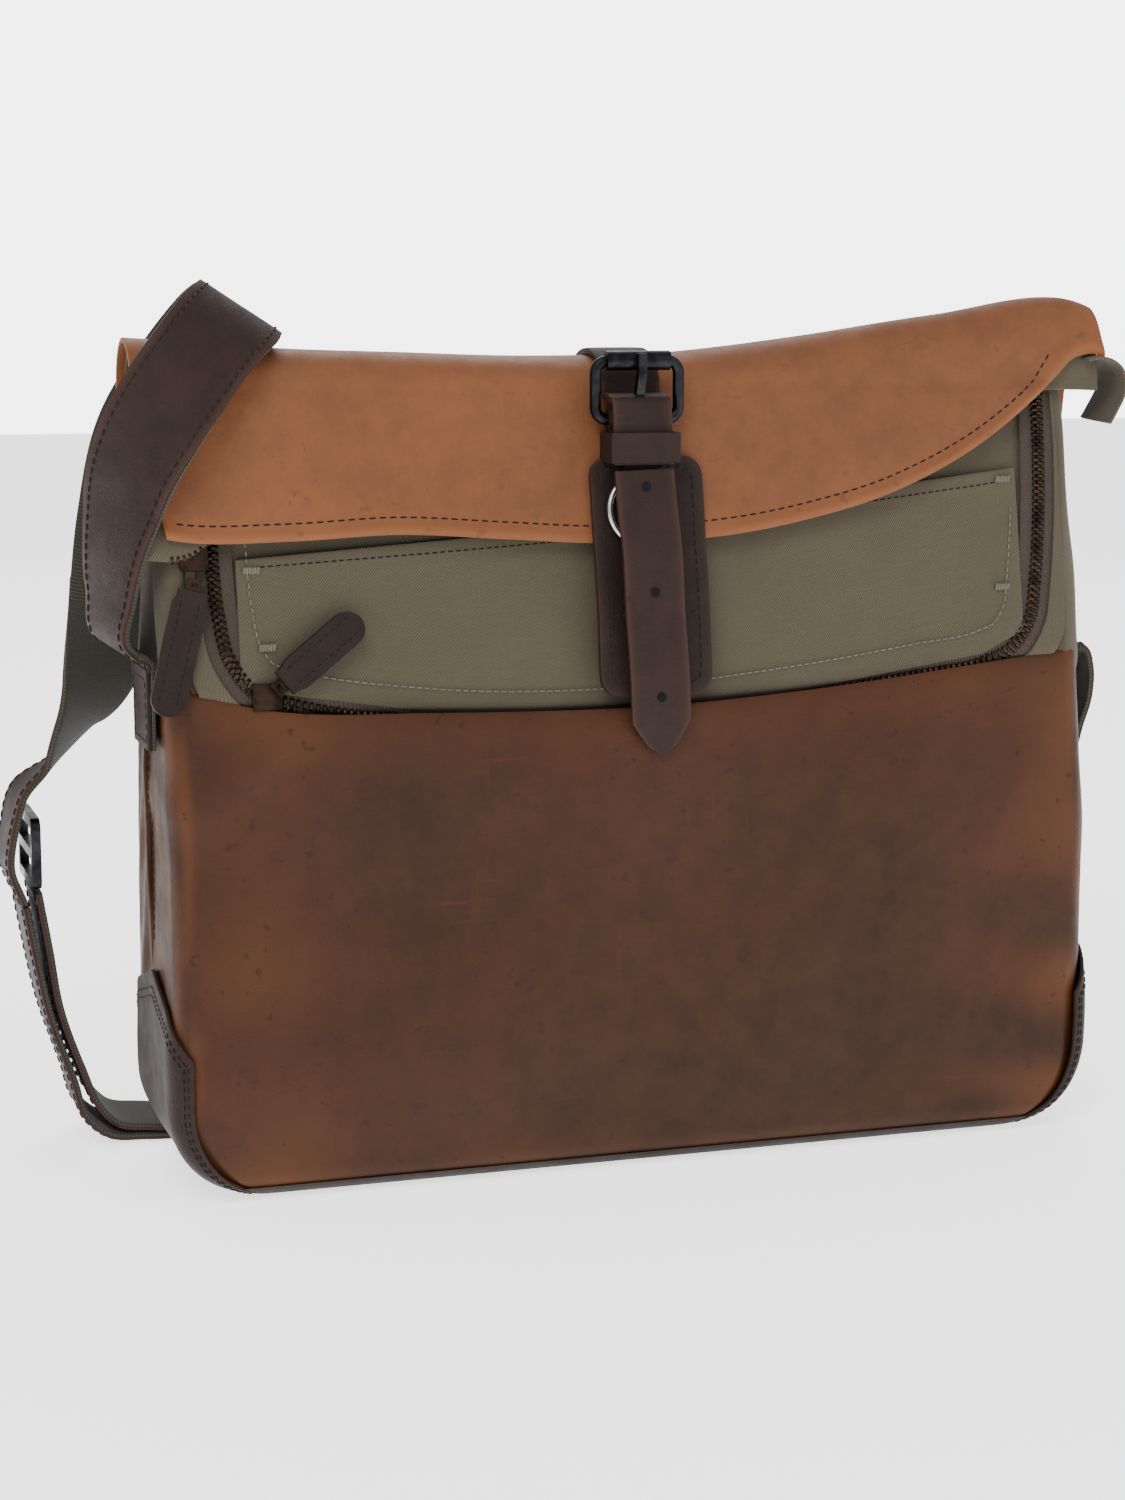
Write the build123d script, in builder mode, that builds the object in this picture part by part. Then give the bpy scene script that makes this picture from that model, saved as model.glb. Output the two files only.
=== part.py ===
from build123d import *
import math
import os

os.makedirs("parts", exist_ok=True)

# Messenger bag of leather and canvas. Millimetres, +Z up, +X along the bag's width, -Y to the front.
# The origin is the centre of the flat base. Most walls are layers of one outer form.

# Outer form
bag_width = 400.0
base_depth = 92.0
mouth_depth = 28.0
mouth_height = 322.0
front_bulge = 12.0
back_bulge = 6.0
corner_radius = 38.0
rim_radius = 12.0

# Walls
leather = 2.2
canvas = 1.6
lining_thickness = 0.8
board_thickness = 2.0
layer_gap = 0.2

# Seams on the body
base_strip = 5.0
panel_side_margin = 8.0
gusset_peak = 85.0
gusset_low = 60.0
side_seam_y = 8.0
pocket_top = mouth_height - 125.0

# Front zipper
zip_side_x = bag_width / 2 - 22.0
zip_line_z = pocket_top + 6.0
zip_tape_half = 7.0
zip_top = mouth_height - 8.0
zip_bend = 12.0
chain_width = 5.0
chain_height = 1.8
slider_length = 11.0
slider_width = 10.0
slider_plate = 1.5

# Flap and roll
hinge_inset = 2.0
hinge_rise = 4.0
flap_start = mouth_height + 2.0
fold_rise = 20.0
flap_width = bag_width + 14.0
flap_drop_left = mouth_height - 58.0
flap_drop_middle = mouth_height - 62.0
flap_drop_right = mouth_height - 4.0
roll_width = bag_width - 4.0
roll_gap = 1.7
roll_thickness = 3.6
roll_bottom_rise = 6.0
flap_leather = 2.0
back_hem_bottom = mouth_height - 36.0

# Closure strap, buckle and patch
closure_x = -4.0
closure_width = 25.0
closure_thickness = 3.0
buckle_strap_thickness = 2.0
bar_z = mouth_height - 13.0
bar_standoff = 7.6
buckle_rise = 23.5
buckle_width = closure_width + 15.0
buckle_wire = 4.6
buckle_corner = 5.0
roller_radius = 4.0
roller_length = closure_width + 2.0
prong_wire = 3.4
keeper_top = mouth_height - 18.0
keeper_height = 12.0
keeper_thickness = 1.5
tail_gap = 2.2
tail_tip_z = mouth_height - 147.0
tail_point = 13.0
hole_radius = 2.0
hole_drops = (40.0, 82.0, 124.0)
patch_width = 48.0
patch_top = mouth_height - 32.0
patch_bottom = mouth_height - 123.0
patch_corner = 8.0
patch_thickness = 3.0
ring_radius = 13.75
ring_wire = 2.5
ring_low_z = mouth_height - 62.7
loop_width = 12.0
magnet_z = mouth_height - 108.0
magnet_radius = 7.0

# Pull tabs
tab_width = 14.0
tab_thickness = 3.4
tab_length = 40.0
top_tab_length = 50.0
link_gap = 5.0
link_wire = 1.6
link_width = 6.0

# Shoulder strap
strap_width = 38.0
strap_thickness = 3.4
strap_back_y = base_depth / 2 + 24.0
strap_gap = 0.4
slide_wire = 4.0
slide_length = strap_width + 8.0
slide_height = 30.0

# Slip pocket on the inside of the back wall
pocket_width = 220.0
pocket_low = 90.0
pocket_high = mouth_height - 112.0
pocket_room = 7.0

clearance = 0.3

half_width = bag_width / 2
half_base = base_depth / 2
half_mouth = mouth_depth / 2
form_top = mouth_height + 8.0
reach = 200.0
hinge_y = -half_mouth - hinge_inset
hinge_z = mouth_height + hinge_rise


def arc_centre(foot, bulge, mouth):
    """Centre and radius of the arc of a wall that bulges between its foot and the mouth."""
    chord = math.hypot(foot - mouth, mouth_height)
    radius = (chord ** 2 / 4 + bulge ** 2) / (2 * bulge)
    middle_y = (foot + mouth) / 2
    middle_z = mouth_height / 2
    back_off = radius - bulge
    normal_y = mouth_height / chord
    normal_z = (foot - mouth) / chord
    return middle_y - back_off * normal_y, middle_z - back_off * normal_z, radius


ARC_Y, ARC_Z, ARC_RADIUS = arc_centre(half_base, front_bulge, half_mouth)
BACK_ARC_Y, BACK_ARC_Z, BACK_ARC_RADIUS = arc_centre(half_base, back_bulge, half_mouth)


def front_y(z, inset=0.0):
    """Y of the front wall at a height, drawn in by inset."""
    return -ARC_Y - math.sqrt((ARC_RADIUS - inset) ** 2 - (z - ARC_Z) ** 2)


def back_y(z, inset=0.0):
    """Y of the back wall at a height, drawn in by inset."""
    return BACK_ARC_Y + math.sqrt((BACK_ARC_RADIUS - inset) ** 2 - (z - BACK_ARC_Z) ** 2)


def front_lean(z):
    """Angle in degrees by which the front wall leans back at a height."""
    return math.degrees(math.asin((z - ARC_Z) / ARC_RADIUS))


def flap_face(z):
    """Y of the outer face of the flap's leather."""
    return front_y(z, -(roll_gap + roll_thickness + layer_gap + flap_leather))


def patch_face(z):
    """Y of the outer face of the patch."""
    return front_y(z, -(roll_gap + roll_thickness + layer_gap + flap_leather + clearance + patch_thickness))


def make_form(inset):
    """The bag's outer form as one solid, drawn in by inset on every side but the top."""
    middle = mouth_height / 2
    with BuildPart() as form:
        with BuildSketch(Plane.YZ):
            with BuildLine():
                front = ThreePointArc(
                    (front_y(inset, inset), inset),
                    (front_y(middle, inset), middle),
                    (front_y(form_top, inset), form_top),
                )
                back = ThreePointArc(
                    (back_y(form_top, inset), form_top),
                    (back_y(middle, inset), middle),
                    (back_y(inset, inset), inset),
                )
                Line(front @ 1, back @ 0)
                Line(back @ 1, front @ 0)
            make_face()
        extrude(amount=half_width - inset, both=True)
        with BuildSketch(Plane.XZ) as outline:
            with Locations((0, form_top / 2 + inset / 2)):
                Rectangle(bag_width - 2 * inset, form_top - inset)
            fillet(outline.vertices().group_by(Axis.Z)[0], radius=corner_radius - inset)
        extrude(amount=reach, both=True, mode=Mode.INTERSECT)
        front_rim = form.faces().sort_by(Axis.Y)[0].edges().sort_by(Axis.Z)[:-1]
        back_rim = form.faces().sort_by(Axis.Y)[-1].edges().sort_by(Axis.Z)[:-1]
        fillet(front_rim + back_rim, radius=rim_radius - inset)
    return form.part


FORMS = {}


def form_at(inset):
    """The form at an inset, made once."""
    key = round(inset, 3)
    if key not in FORMS:
        FORMS[key] = make_form(key)
    return FORMS[key]


def add_skin(outer, inner):
    """Add the layer of the form between two insets to the part in hand."""
    add(form_at(outer))
    add(form_at(inner), mode=Mode.SUBTRACT)


def keep_box(x_range, y_range, z_range):
    """Keep what lies inside a box."""
    with Locations((sum(x_range) / 2, sum(y_range) / 2, sum(z_range) / 2)):
        Box(
            x_range[1] - x_range[0],
            y_range[1] - y_range[0],
            z_range[1] - z_range[0],
            mode=Mode.INTERSECT,
        )


FULL = (-reach - 100, reach + 100)
BELOW_MOUTH = (-10.0, mouth_height)
FRONT = (-reach, 0.0)
BACK = (0.0, reach)


def make_gusset_region():
    """The space of the base gusset: a strip under and beside the panels, peaked on both sides."""
    with BuildPart() as region:
        with BuildSketch(Plane.YZ):
            with BuildLine():
                Polyline(
                    (-half_base - 20, -10),
                    (half_base + 20, -10),
                    (half_base + 20, gusset_low),
                    (half_base, gusset_low),
                    (0, gusset_peak),
                    (-half_base, gusset_low),
                    (-half_base - 20, gusset_low),
                    close=True,
                )
            make_face()
        extrude(amount=reach + 50, both=True)
        with BuildSketch(Plane.XZ) as panel:
            with Locations((0, base_strip + reach / 2)):
                Rectangle(bag_width - 2 * panel_side_margin, reach)
            fillet(panel.vertices().group_by(Axis.Z)[0], radius=corner_radius - base_strip)
        extrude(amount=reach, both=True, mode=Mode.SUBTRACT)
        Box(bag_width - 2 * panel_side_margin, base_depth - 2 * rim_radius, 2 * base_strip)
    return region.part


GUSSET_REGION = make_gusset_region()


def finish(builder, name):
    """Label a piece and write its file."""
    builder.part.label = name
    export_step(builder.part, f"parts/{name}.step")


# ---------------------------------------------------------------- body of the bag

with BuildPart() as base_gusset:
    add_skin(0, leather)
    add(GUSSET_REGION, mode=Mode.INTERSECT)
finish(base_gusset, "base_gusset")

with BuildPart() as front_leather_panel:
    add_skin(0, leather)
    keep_box(FULL, (-reach, side_seam_y), (0, pocket_top))
    add(GUSSET_REGION, mode=Mode.SUBTRACT)
finish(front_leather_panel, "front_leather_panel")

with BuildPart() as back_leather_panel:
    add_skin(0, leather)
    keep_box(FULL, (side_seam_y, reach), (0, pocket_top))
    add(GUSSET_REGION, mode=Mode.SUBTRACT)
finish(back_leather_panel, "back_leather_panel")

canvas_outer = layer_gap
canvas_inner = layer_gap + canvas
zip_outer_x = zip_side_x + zip_tape_half
zip_inner_x = zip_side_x - zip_tape_half
panel_bottom = zip_line_z + zip_tape_half

with BuildPart() as canvas_body:
    add_skin(canvas_outer, canvas_inner)
    keep_box(FULL, (-reach, reach), (pocket_top, mouth_height))
    with BuildSketch(Plane.XZ) as window:
        with Locations((0, (pocket_top + zip_top) / 2 - 1)):
            Rectangle(2 * zip_outer_x, zip_top - pocket_top + 2)
    extrude(amount=reach, mode=Mode.SUBTRACT)
finish(canvas_body, "canvas_body")

with BuildPart() as access_panel:
    add_skin(canvas_outer, canvas_inner)
    with BuildSketch(Plane.XZ) as inside:
        with Locations((0, (panel_bottom + zip_top) / 2)):
            Rectangle(2 * zip_inner_x, zip_top - panel_bottom)
        fillet(inside.vertices().group_by(Axis.Z)[0], radius=zip_bend - zip_tape_half + 2)
    extrude(amount=reach, mode=Mode.INTERSECT)
finish(access_panel, "access_panel")

with BuildPart() as front_zip_tape:
    add_skin(canvas_outer + 0.3, canvas_inner)
    with BuildSketch(Plane.XZ):
        with Locations((0, (pocket_top + zip_top) / 2)):
            Rectangle(2 * zip_outer_x, zip_top - pocket_top)
        with BuildSketch(Plane.XZ, mode=Mode.SUBTRACT) as hole:
            with Locations((0, (panel_bottom + zip_top) / 2)):
                Rectangle(2 * zip_inner_x, zip_top - panel_bottom)
            fillet(hole.vertices().group_by(Axis.Z)[0], radius=zip_bend - zip_tape_half + 2)
    extrude(amount=reach, mode=Mode.INTERSECT)
finish(front_zip_tape, "front_zip_tape")

with BuildPart() as front_zip_chain:
    add_skin(canvas_outer + 0.3 - chain_height, canvas_outer + 0.3)
    with BuildSketch(Plane.XZ):
        with BuildLine():
            FilletPolyline(
                (-zip_side_x, zip_top),
                (-zip_side_x, zip_line_z),
                (zip_side_x, zip_line_z),
                (zip_side_x, zip_top),
                radius=zip_bend,
            )
        trace(line_width=chain_width)
    extrude(amount=reach, mode=Mode.INTERSECT)
finish(front_zip_chain, "front_zip_chain")

lining_outer = leather + layer_gap
lining_inner = lining_outer + lining_thickness
with BuildPart() as lining:
    add_skin(lining_outer, lining_inner)
    keep_box(FULL, (-reach, reach), BELOW_MOUTH)
finish(lining, "lining")

board_inset = lining_inner + 1.0
with BuildPart() as base_board:
    add(form_at(board_inset))
    keep_box(FULL, (-reach, reach), (board_inset, board_inset + board_thickness))
finish(base_board, "base_board")

def make_pocket_room():
    """The space inside the slip pocket, open at its top."""
    with BuildPart() as room:
        add_skin(lining_inner, lining_inner + pocket_room)
        keep_box(
            (lining_thickness - pocket_width / 2, pocket_width / 2 - lining_thickness),
            BACK,
            (pocket_low + lining_thickness, mouth_height),
        )
    return room.part


POCKET_ROOM = make_pocket_room()

with BuildPart() as slip_pocket:
    add_skin(lining_inner, lining_inner + pocket_room + lining_thickness)
    keep_box((-pocket_width / 2, pocket_width / 2), BACK, (pocket_low, pocket_high))
    add(POCKET_ROOM, mode=Mode.SUBTRACT)
finish(slip_pocket, "slip_pocket")


# ---------------------------------------------------------------- bands that follow the walls


def add_front_band(outer, thickness, low, high, left, right):
    """Add a sheet that follows the front wall: outer is its outer face's inset."""
    middle = (low + high) / 2
    with BuildSketch(Plane.YZ.offset(left)) as section:
        with BuildLine():
            face = ThreePointArc(*[(front_y(z, outer), z) for z in (low, middle, high)])
            rear = ThreePointArc(*[(front_y(z, outer + thickness), z) for z in (high, middle, low)])
            Line(face @ 1, rear @ 0)
            Line(rear @ 1, face @ 0)
        make_face()
    extrude(section.sketch, amount=right - left)


def add_back_band(outer, thickness, low, high, left, right):
    """Add a sheet that follows the back wall: outer is its outer face's inset."""
    middle = (low + high) / 2
    with BuildSketch(Plane.YZ.offset(left)) as section:
        with BuildLine():
            face = ThreePointArc(*[(back_y(z, outer), z) for z in (low, middle, high)])
            rear = ThreePointArc(*[(back_y(z, outer + thickness), z) for z in (high, middle, low)])
            Line(face @ 1, rear @ 0)
            Line(rear @ 1, face @ 0)
        make_face()
    extrude(section.sketch, amount=right - left)


def add_fold(lift, thickness, width, centre=0.0):
    """Add a sheet that goes over the fold: lift is its inner face's height over the flap's inner face."""
    front_edge = front_y(flap_start, -(roll_gap + roll_thickness + layer_gap)) - lift
    back_edge = back_y(mouth_height, 0) + clearance + lift
    apex = flap_start + fold_rise + lift
    apex_y = (front_edge + back_edge) / 2
    start_z = flap_start + 0.1
    with BuildSketch(Plane.YZ.offset(centre - width / 2)) as section:
        with BuildLine():
            inner = ThreePointArc((front_edge, start_z), (apex_y, apex), (back_edge, mouth_height))
            outer = ThreePointArc(
                (back_edge + thickness, mouth_height),
                (apex_y, apex + thickness),
                (front_edge - thickness, start_z),
            )
            Line(inner @ 1, outer @ 0)
            Line(outer @ 1, inner @ 0)
        make_face()
    extrude(section.sketch, amount=width)


def front_plane(x, z, inset):
    """A plane on the front wall's layer at an inset: its normal points out, its local Y points up."""
    lean = math.radians(front_lean(z))
    return Plane(
        origin=(x, front_y(z, inset), z),
        x_dir=(1, 0, 0),
        z_dir=(0, -math.cos(lean), math.sin(lean)),
    )


half_flap = flap_width / 2
half_roll = roll_width / 2
flap_outset = roll_gap + roll_thickness + layer_gap + flap_leather
patch_outset = flap_outset + clearance + patch_thickness
hem_outset = clearance + flap_leather

# ---------------------------------------------------------------- flap, roll and fold

with BuildPart() as flap_leather_front:
    add_front_band(-flap_outset, flap_leather, flap_drop_middle - 10, flap_start, -half_flap, half_flap)
    with BuildSketch(Plane.XZ):
        with BuildLine():
            lower = Spline(
                (-half_flap, flap_drop_left),
                (0, flap_drop_middle),
                (half_flap * 0.55, flap_drop_middle + 17),
                (half_flap, flap_drop_right),
            )
            Polyline(lower @ 1, (half_flap, form_top), (-half_flap, form_top), lower @ 0)
        make_face()
    extrude(amount=reach, mode=Mode.INTERSECT)
finish(flap_leather_front, "flap_leather_front")

roll_low = flap_drop_middle + roll_bottom_rise
with BuildPart() as roll_canvas:
    add_front_band(-(roll_gap + roll_thickness), roll_thickness, roll_low, flap_start, -half_roll, half_roll)
    with BuildSketch(Plane.XZ):
        with BuildLine():
            Polyline(
                (-half_roll, roll_low),
                (half_roll * 0.5, roll_low),
                (half_roll, flap_drop_right - 14),
                (half_roll, form_top),
                (-half_roll, form_top),
                close=True,
            )
        make_face()
    extrude(amount=reach, mode=Mode.INTERSECT)
finish(roll_canvas, "roll_canvas")

with BuildPart() as fold_leather:
    add_fold(0, flap_leather, flap_width)
finish(fold_leather, "fold_leather")

with BuildPart() as fold_canvas:
    add_fold(-clearance - canvas, canvas, roll_width)
    keep_box(FULL, (-reach, back_y(mouth_height, canvas_inner)), (flap_start + 0.2, reach * 2))
finish(fold_canvas, "fold_canvas")

with BuildPart() as flap_back_hem:
    add_back_band(-hem_outset, flap_leather, back_hem_bottom, mouth_height - 0.2, -half_width + 8, half_width - 8)
finish(flap_back_hem, "flap_back_hem")

# Top zipper: the chain closes the end of the roll and the slider hangs below it
top_chain_inset = -(roll_gap + (roll_thickness - chain_height) / 2)
top_chain_low = roll_low - 3.0
with BuildPart() as top_zip_chain:
    add_front_band(
        top_chain_inset - chain_height, chain_height, top_chain_low, roll_low, -half_roll + 4, half_roll * 0.5
    )
finish(top_zip_chain, "top_zip_chain")

top_slider_x = -half_roll + 12.0
top_slider_z = top_chain_low - 3 * clearance - slider_width / 2
top_slider_plane = front_plane(top_slider_x, top_slider_z, -roll_gap)
with BuildPart() as top_zip_slider:
    with BuildSketch(top_slider_plane):
        RectangleRounded(slider_length, slider_width, 2.5)
    extrude(amount=roll_thickness - 0.4)
finish(top_zip_slider, "top_zip_slider")


def add_pull_tab(plane, length):
    """Add a leather pull tab: it starts at the plane's origin and runs along its local X."""
    with BuildSketch(plane) as section:
        with Locations((length / 2, 0)):
            SlotOverall(length, tab_width)
        with Locations((tab_width / 4, 0)):
            Rectangle(tab_width / 2, tab_width * 0.8)
    extrude(section.sketch, amount=tab_thickness)


def add_pull_link(plane, gap):
    """Add the wire link between a slider and its pull tab, along the plane's local X."""
    length = gap - clearance
    with BuildSketch(plane) as section:
        with Locations((-gap / 2, 0)):
            Rectangle(length, link_width)
            Rectangle(length - 2 * link_wire, link_width - 2 * link_wire, mode=Mode.SUBTRACT)
    extrude(section.sketch, amount=link_wire)


top_pull_z = top_slider_z - slider_width / 2 - link_gap - link_wire - 2 * clearance
top_pull_x = top_slider_x - 1.0
top_pull_y = front_y(top_pull_z, -3.0)
top_pull_down = Vector(-0.26, -0.12, -0.96).normalized()
top_pull_plane = Plane(
    origin=(top_pull_x, top_pull_y, top_pull_z),
    x_dir=top_pull_down,
    z_dir=Vector(0, -0.96, 0.12).cross(top_pull_down).cross(top_pull_down) * -1,
)
with BuildPart() as top_pull_tab:
    add_pull_tab(top_pull_plane, top_tab_length)
finish(top_pull_tab, "top_pull_tab")

with BuildPart() as top_pull_link:
    add_pull_link(top_pull_plane, link_gap)
finish(top_pull_link, "top_pull_link")

# Front zipper: slider on the level run and its pull tab, which leans up and to the right
front_slider_x = -zip_side_x + zip_bend + slider_length / 2 + 1.0
slider_inset = canvas_outer + 0.3 - chain_height - clearance
with BuildPart() as front_zip_slider:
    add_front_band(
        slider_inset - slider_plate,
        slider_plate,
        zip_line_z - slider_width / 2,
        zip_line_z + slider_width / 2,
        front_slider_x - slider_length / 2,
        front_slider_x + slider_length / 2,
    )
    for side in (-1, 1):
        middle_z = zip_line_z + side * (slider_width / 2 - 0.9)
        add_front_band(
            slider_inset,
            chain_height,
            middle_z - 0.9,
            middle_z + 0.9,
            front_slider_x - slider_length / 2,
            front_slider_x + slider_length / 2,
        )
finish(front_zip_slider, "front_zip_slider")

front_pull_angle = 38.0
front_pull_seat = front_plane(front_slider_x + 3.0, zip_line_z + 2.0, slider_inset - slider_plate - clearance)
front_pull_along = (
    front_pull_seat.x_dir * math.cos(math.radians(front_pull_angle))
    + front_pull_seat.y_dir * math.sin(math.radians(front_pull_angle))
)
front_pull_plane = Plane(
    origin=front_pull_seat.origin + front_pull_along * link_gap,
    x_dir=front_pull_along,
    z_dir=front_pull_seat.z_dir,
)
with BuildPart() as front_pull_tab:
    add_pull_tab(front_pull_plane, tab_length)
finish(front_pull_tab, "front_pull_tab")

with BuildPart() as front_pull_link:
    add_pull_link(front_pull_plane, link_gap)
finish(front_pull_link, "front_pull_link")

# ---------------------------------------------------------------- patch, magnet, ring and buckle

with BuildPart() as patch:
    add_front_band(-patch_outset, patch_thickness, patch_bottom, patch_top, -patch_width / 2, patch_width / 2)
    fillet(patch.edges().filter_by(lambda e: e.length < patch_thickness + 0.5), radius=patch_corner)
finish(patch, "patch")

magnet_socket_height = 3.4
with BuildPart() as magnet_socket:
    with BuildSketch(front_plane(0, magnet_z, canvas_outer - 0.05)):
        Circle(magnet_radius)
    extrude(amount=magnet_socket_height)
finish(magnet_socket, "magnet_socket")

with BuildPart() as magnet_stud:
    with BuildSketch(front_plane(0, magnet_z, -patch_outset + patch_thickness + 0.05)):
        Circle(magnet_radius)
    stud_height = patch_outset - patch_thickness - magnet_socket_height - clearance
    extrude(amount=-stud_height)
finish(magnet_stud, "magnet_stud")

bar_y = flap_face(bar_z) - bar_standoff
roller_z = bar_z + buckle_rise
loop_radius = ring_wire / 2 + 0.3 + 1.6
ring_lean_start = patch_face(ring_low_z) - clearance - loop_radius
ring_top_z = ring_low_z + 2 * ring_radius
ring_top_y = patch_face(ring_top_z) - clearance - loop_radius
ring_up = Vector(0, ring_top_y - ring_lean_start, ring_top_z - ring_low_z).normalized()
ring_centre = Vector(closure_x, ring_lean_start, ring_low_z) + ring_up * ring_radius
ring_high = Vector(closure_x, ring_lean_start, ring_low_z) + ring_up * (2 * ring_radius)
ring_plane = Plane(origin=ring_centre, x_dir=(1, 0, 0), z_dir=ring_up.cross(Vector(1, 0, 0)))

with BuildPart() as o_ring:
    with BuildSketch(Plane(origin=ring_high, x_dir=ring_up, z_dir=(1, 0, 0))):
        Circle(ring_wire / 2)
    revolve(axis=Axis(ring_centre, ring_plane.z_dir))
finish(o_ring, "o_ring")

loop_room = ring_wire / 2 + 0.25
with BuildPart() as ring_loop:
    with BuildSketch(Plane.YZ.offset(closure_x - loop_width / 2)):
        with Locations((ring_lean_start, ring_low_z)):
            Circle(loop_radius)
    extrude(amount=loop_width)
    add_front_band(
        -patch_outset - 3.6,
        3.2,
        ring_low_z - 29.0,
        ring_low_z - 1.0,
        closure_x - loop_width / 2,
        closure_x + loop_width / 2,
    )
    with BuildSketch(Plane.YZ.offset(closure_x - loop_width)):
        with Locations((ring_lean_start, ring_low_z + 0.5)):
            SlotOverall(2 * loop_room + 2.4, 2 * loop_room, rotation=90)
    extrude(amount=2 * loop_width, mode=Mode.SUBTRACT)
finish(ring_loop, "ring_loop")

bar_loop_radius = buckle_wire / 2 + 0.2 + buckle_strap_thickness
with BuildPart() as buckle_strap:
    with BuildSketch(Plane.YZ.offset(closure_x - closure_width / 2)):
        with Locations((bar_y, bar_z)):
            Circle(bar_loop_radius)
        with Locations((ring_high.Y, ring_high.Z)):
            Circle(loop_radius)
        with BuildLine():
            Line((bar_y, bar_z), (ring_high.Y, ring_high.Z))
        trace(line_width=2 * buckle_strap_thickness + 0.2)
    extrude(amount=closure_width)
    with BuildSketch(Plane.XZ):
        with BuildLine():
            Polyline(
                (closure_x - closure_width / 2, bar_z + 10),
                (closure_x - closure_width / 2, bar_z - 8),
                (closure_x - loop_width / 2, ring_high.Z + 5),
                (closure_x - loop_width / 2, ring_high.Z - 10),
                (closure_x + loop_width / 2, ring_high.Z - 10),
                (closure_x + loop_width / 2, ring_high.Z + 5),
                (closure_x + closure_width / 2, bar_z - 8),
                (closure_x + closure_width / 2, bar_z + 10),
                close=True,
            )
        make_face()
    extrude(amount=reach, mode=Mode.INTERSECT)
    with BuildSketch(Plane.YZ.offset(closure_x - closure_width)):
        with Locations((bar_y, bar_z)):
            Circle(buckle_wire / 2 + 0.2)
        with Locations((ring_high.Y, ring_high.Z - 0.5)):
            SlotOverall(2 * loop_room + 2.4, 2 * loop_room, rotation=90)
    extrude(amount=2 * closure_width, mode=Mode.SUBTRACT)
    with Locations((closure_x, bar_y, bar_z + 3)):
        Box(prong_wire + 1.2, 20, 16, mode=Mode.SUBTRACT)
finish(buckle_strap, "buckle_strap")

frame_half = buckle_width / 2 - buckle_wire / 2
with BuildSketch(Plane.XZ.offset(-bar_y)) as frame_outline:
    with Locations((closure_x, (bar_z + roller_z) / 2)):
        RectangleRounded(2 * frame_half, buckle_rise, buckle_corner)
frame_path = frame_outline.sketch.wires()[0]

with BuildPart() as buckle_frame:
    with BuildSketch(Plane(origin=frame_path @ 0, z_dir=frame_path % 0)):
        Circle(buckle_wire / 2)
    sweep(path=frame_path)
finish(buckle_frame, "buckle_frame")

with BuildPart() as buckle_roller:
    with BuildSketch(Plane.YZ.offset(closure_x - roller_length / 2)):
        with Locations((bar_y, roller_z)):
            Circle(roller_radius)
            Circle(buckle_wire / 2 + 0.1, mode=Mode.SUBTRACT)
    extrude(amount=roller_length)
finish(buckle_roller, "buckle_roller")

# Prong: an eye round the heel bar and a wire that leans out to rest on the roller
prong_rest_y = bar_y - roller_radius - clearance - prong_wire / 2
with BuildPart() as buckle_prong:
    with BuildSketch(Plane.YZ.offset(closure_x - prong_wire / 2)):
        with Locations((bar_y, bar_z)):
            Circle(bar_loop_radius - 0.3)
        with BuildLine():
            Polyline((bar_y - 0.5, bar_z + 3.5), (prong_rest_y, roller_z - 5.0), (prong_rest_y, roller_z + 3.0))
        trace(line_width=prong_wire)
        with Locations((bar_y, bar_z)):
            Circle(buckle_wire / 2 + 0.15, mode=Mode.SUBTRACT)
    extrude(amount=prong_wire)
finish(buckle_prong, "buckle_prong")

# ---------------------------------------------------------------- closure strap

keeper_low = keeper_top - keeper_height
strap_out_y = bar_y - bar_loop_radius - clearance - closure_thickness / 2
strap_in_y = flap_face(flap_start) - clearance - closure_thickness / 2
crossing_z = bar_z + 8.4
front_end_z = keeper_low - 1.5


def web_y(z):
    """Y of the buckle strap's middle layer between the heel bar and the ring."""
    return bar_y + (ring_high.Y - bar_y) * (bar_z - z) / (bar_z - ring_high.Z)


tail_start_y = ring_high.Y - loop_radius - clearance - closure_thickness / 2 + 0.6

with BuildPart() as closure_strap_front:
    with BuildSketch(Plane.YZ.offset(closure_x - closure_width / 2)):
        with BuildLine():
            FilletPolyline(
                (strap_in_y, flap_start - 0.6),
                (flap_face(crossing_z - closure_thickness) - clearance - closure_thickness / 2, crossing_z),
                (strap_out_y, crossing_z),
                (strap_out_y - 1.0, keeper_top - 2),
                (tail_start_y, front_end_z),
                radius=2.6,
            )
        trace(line_width=closure_thickness)
    extrude(amount=closure_width)
    with BuildSketch(Plane.XY.offset(crossing_z - 6)):
        with Locations((closure_x, strap_out_y + 4.2)):
            SlotOverall(11.5, prong_wire + 1.4, rotation=90)
    extrude(amount=12, mode=Mode.SUBTRACT)
finish(closure_strap_front, "closure_strap_front")

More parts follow.
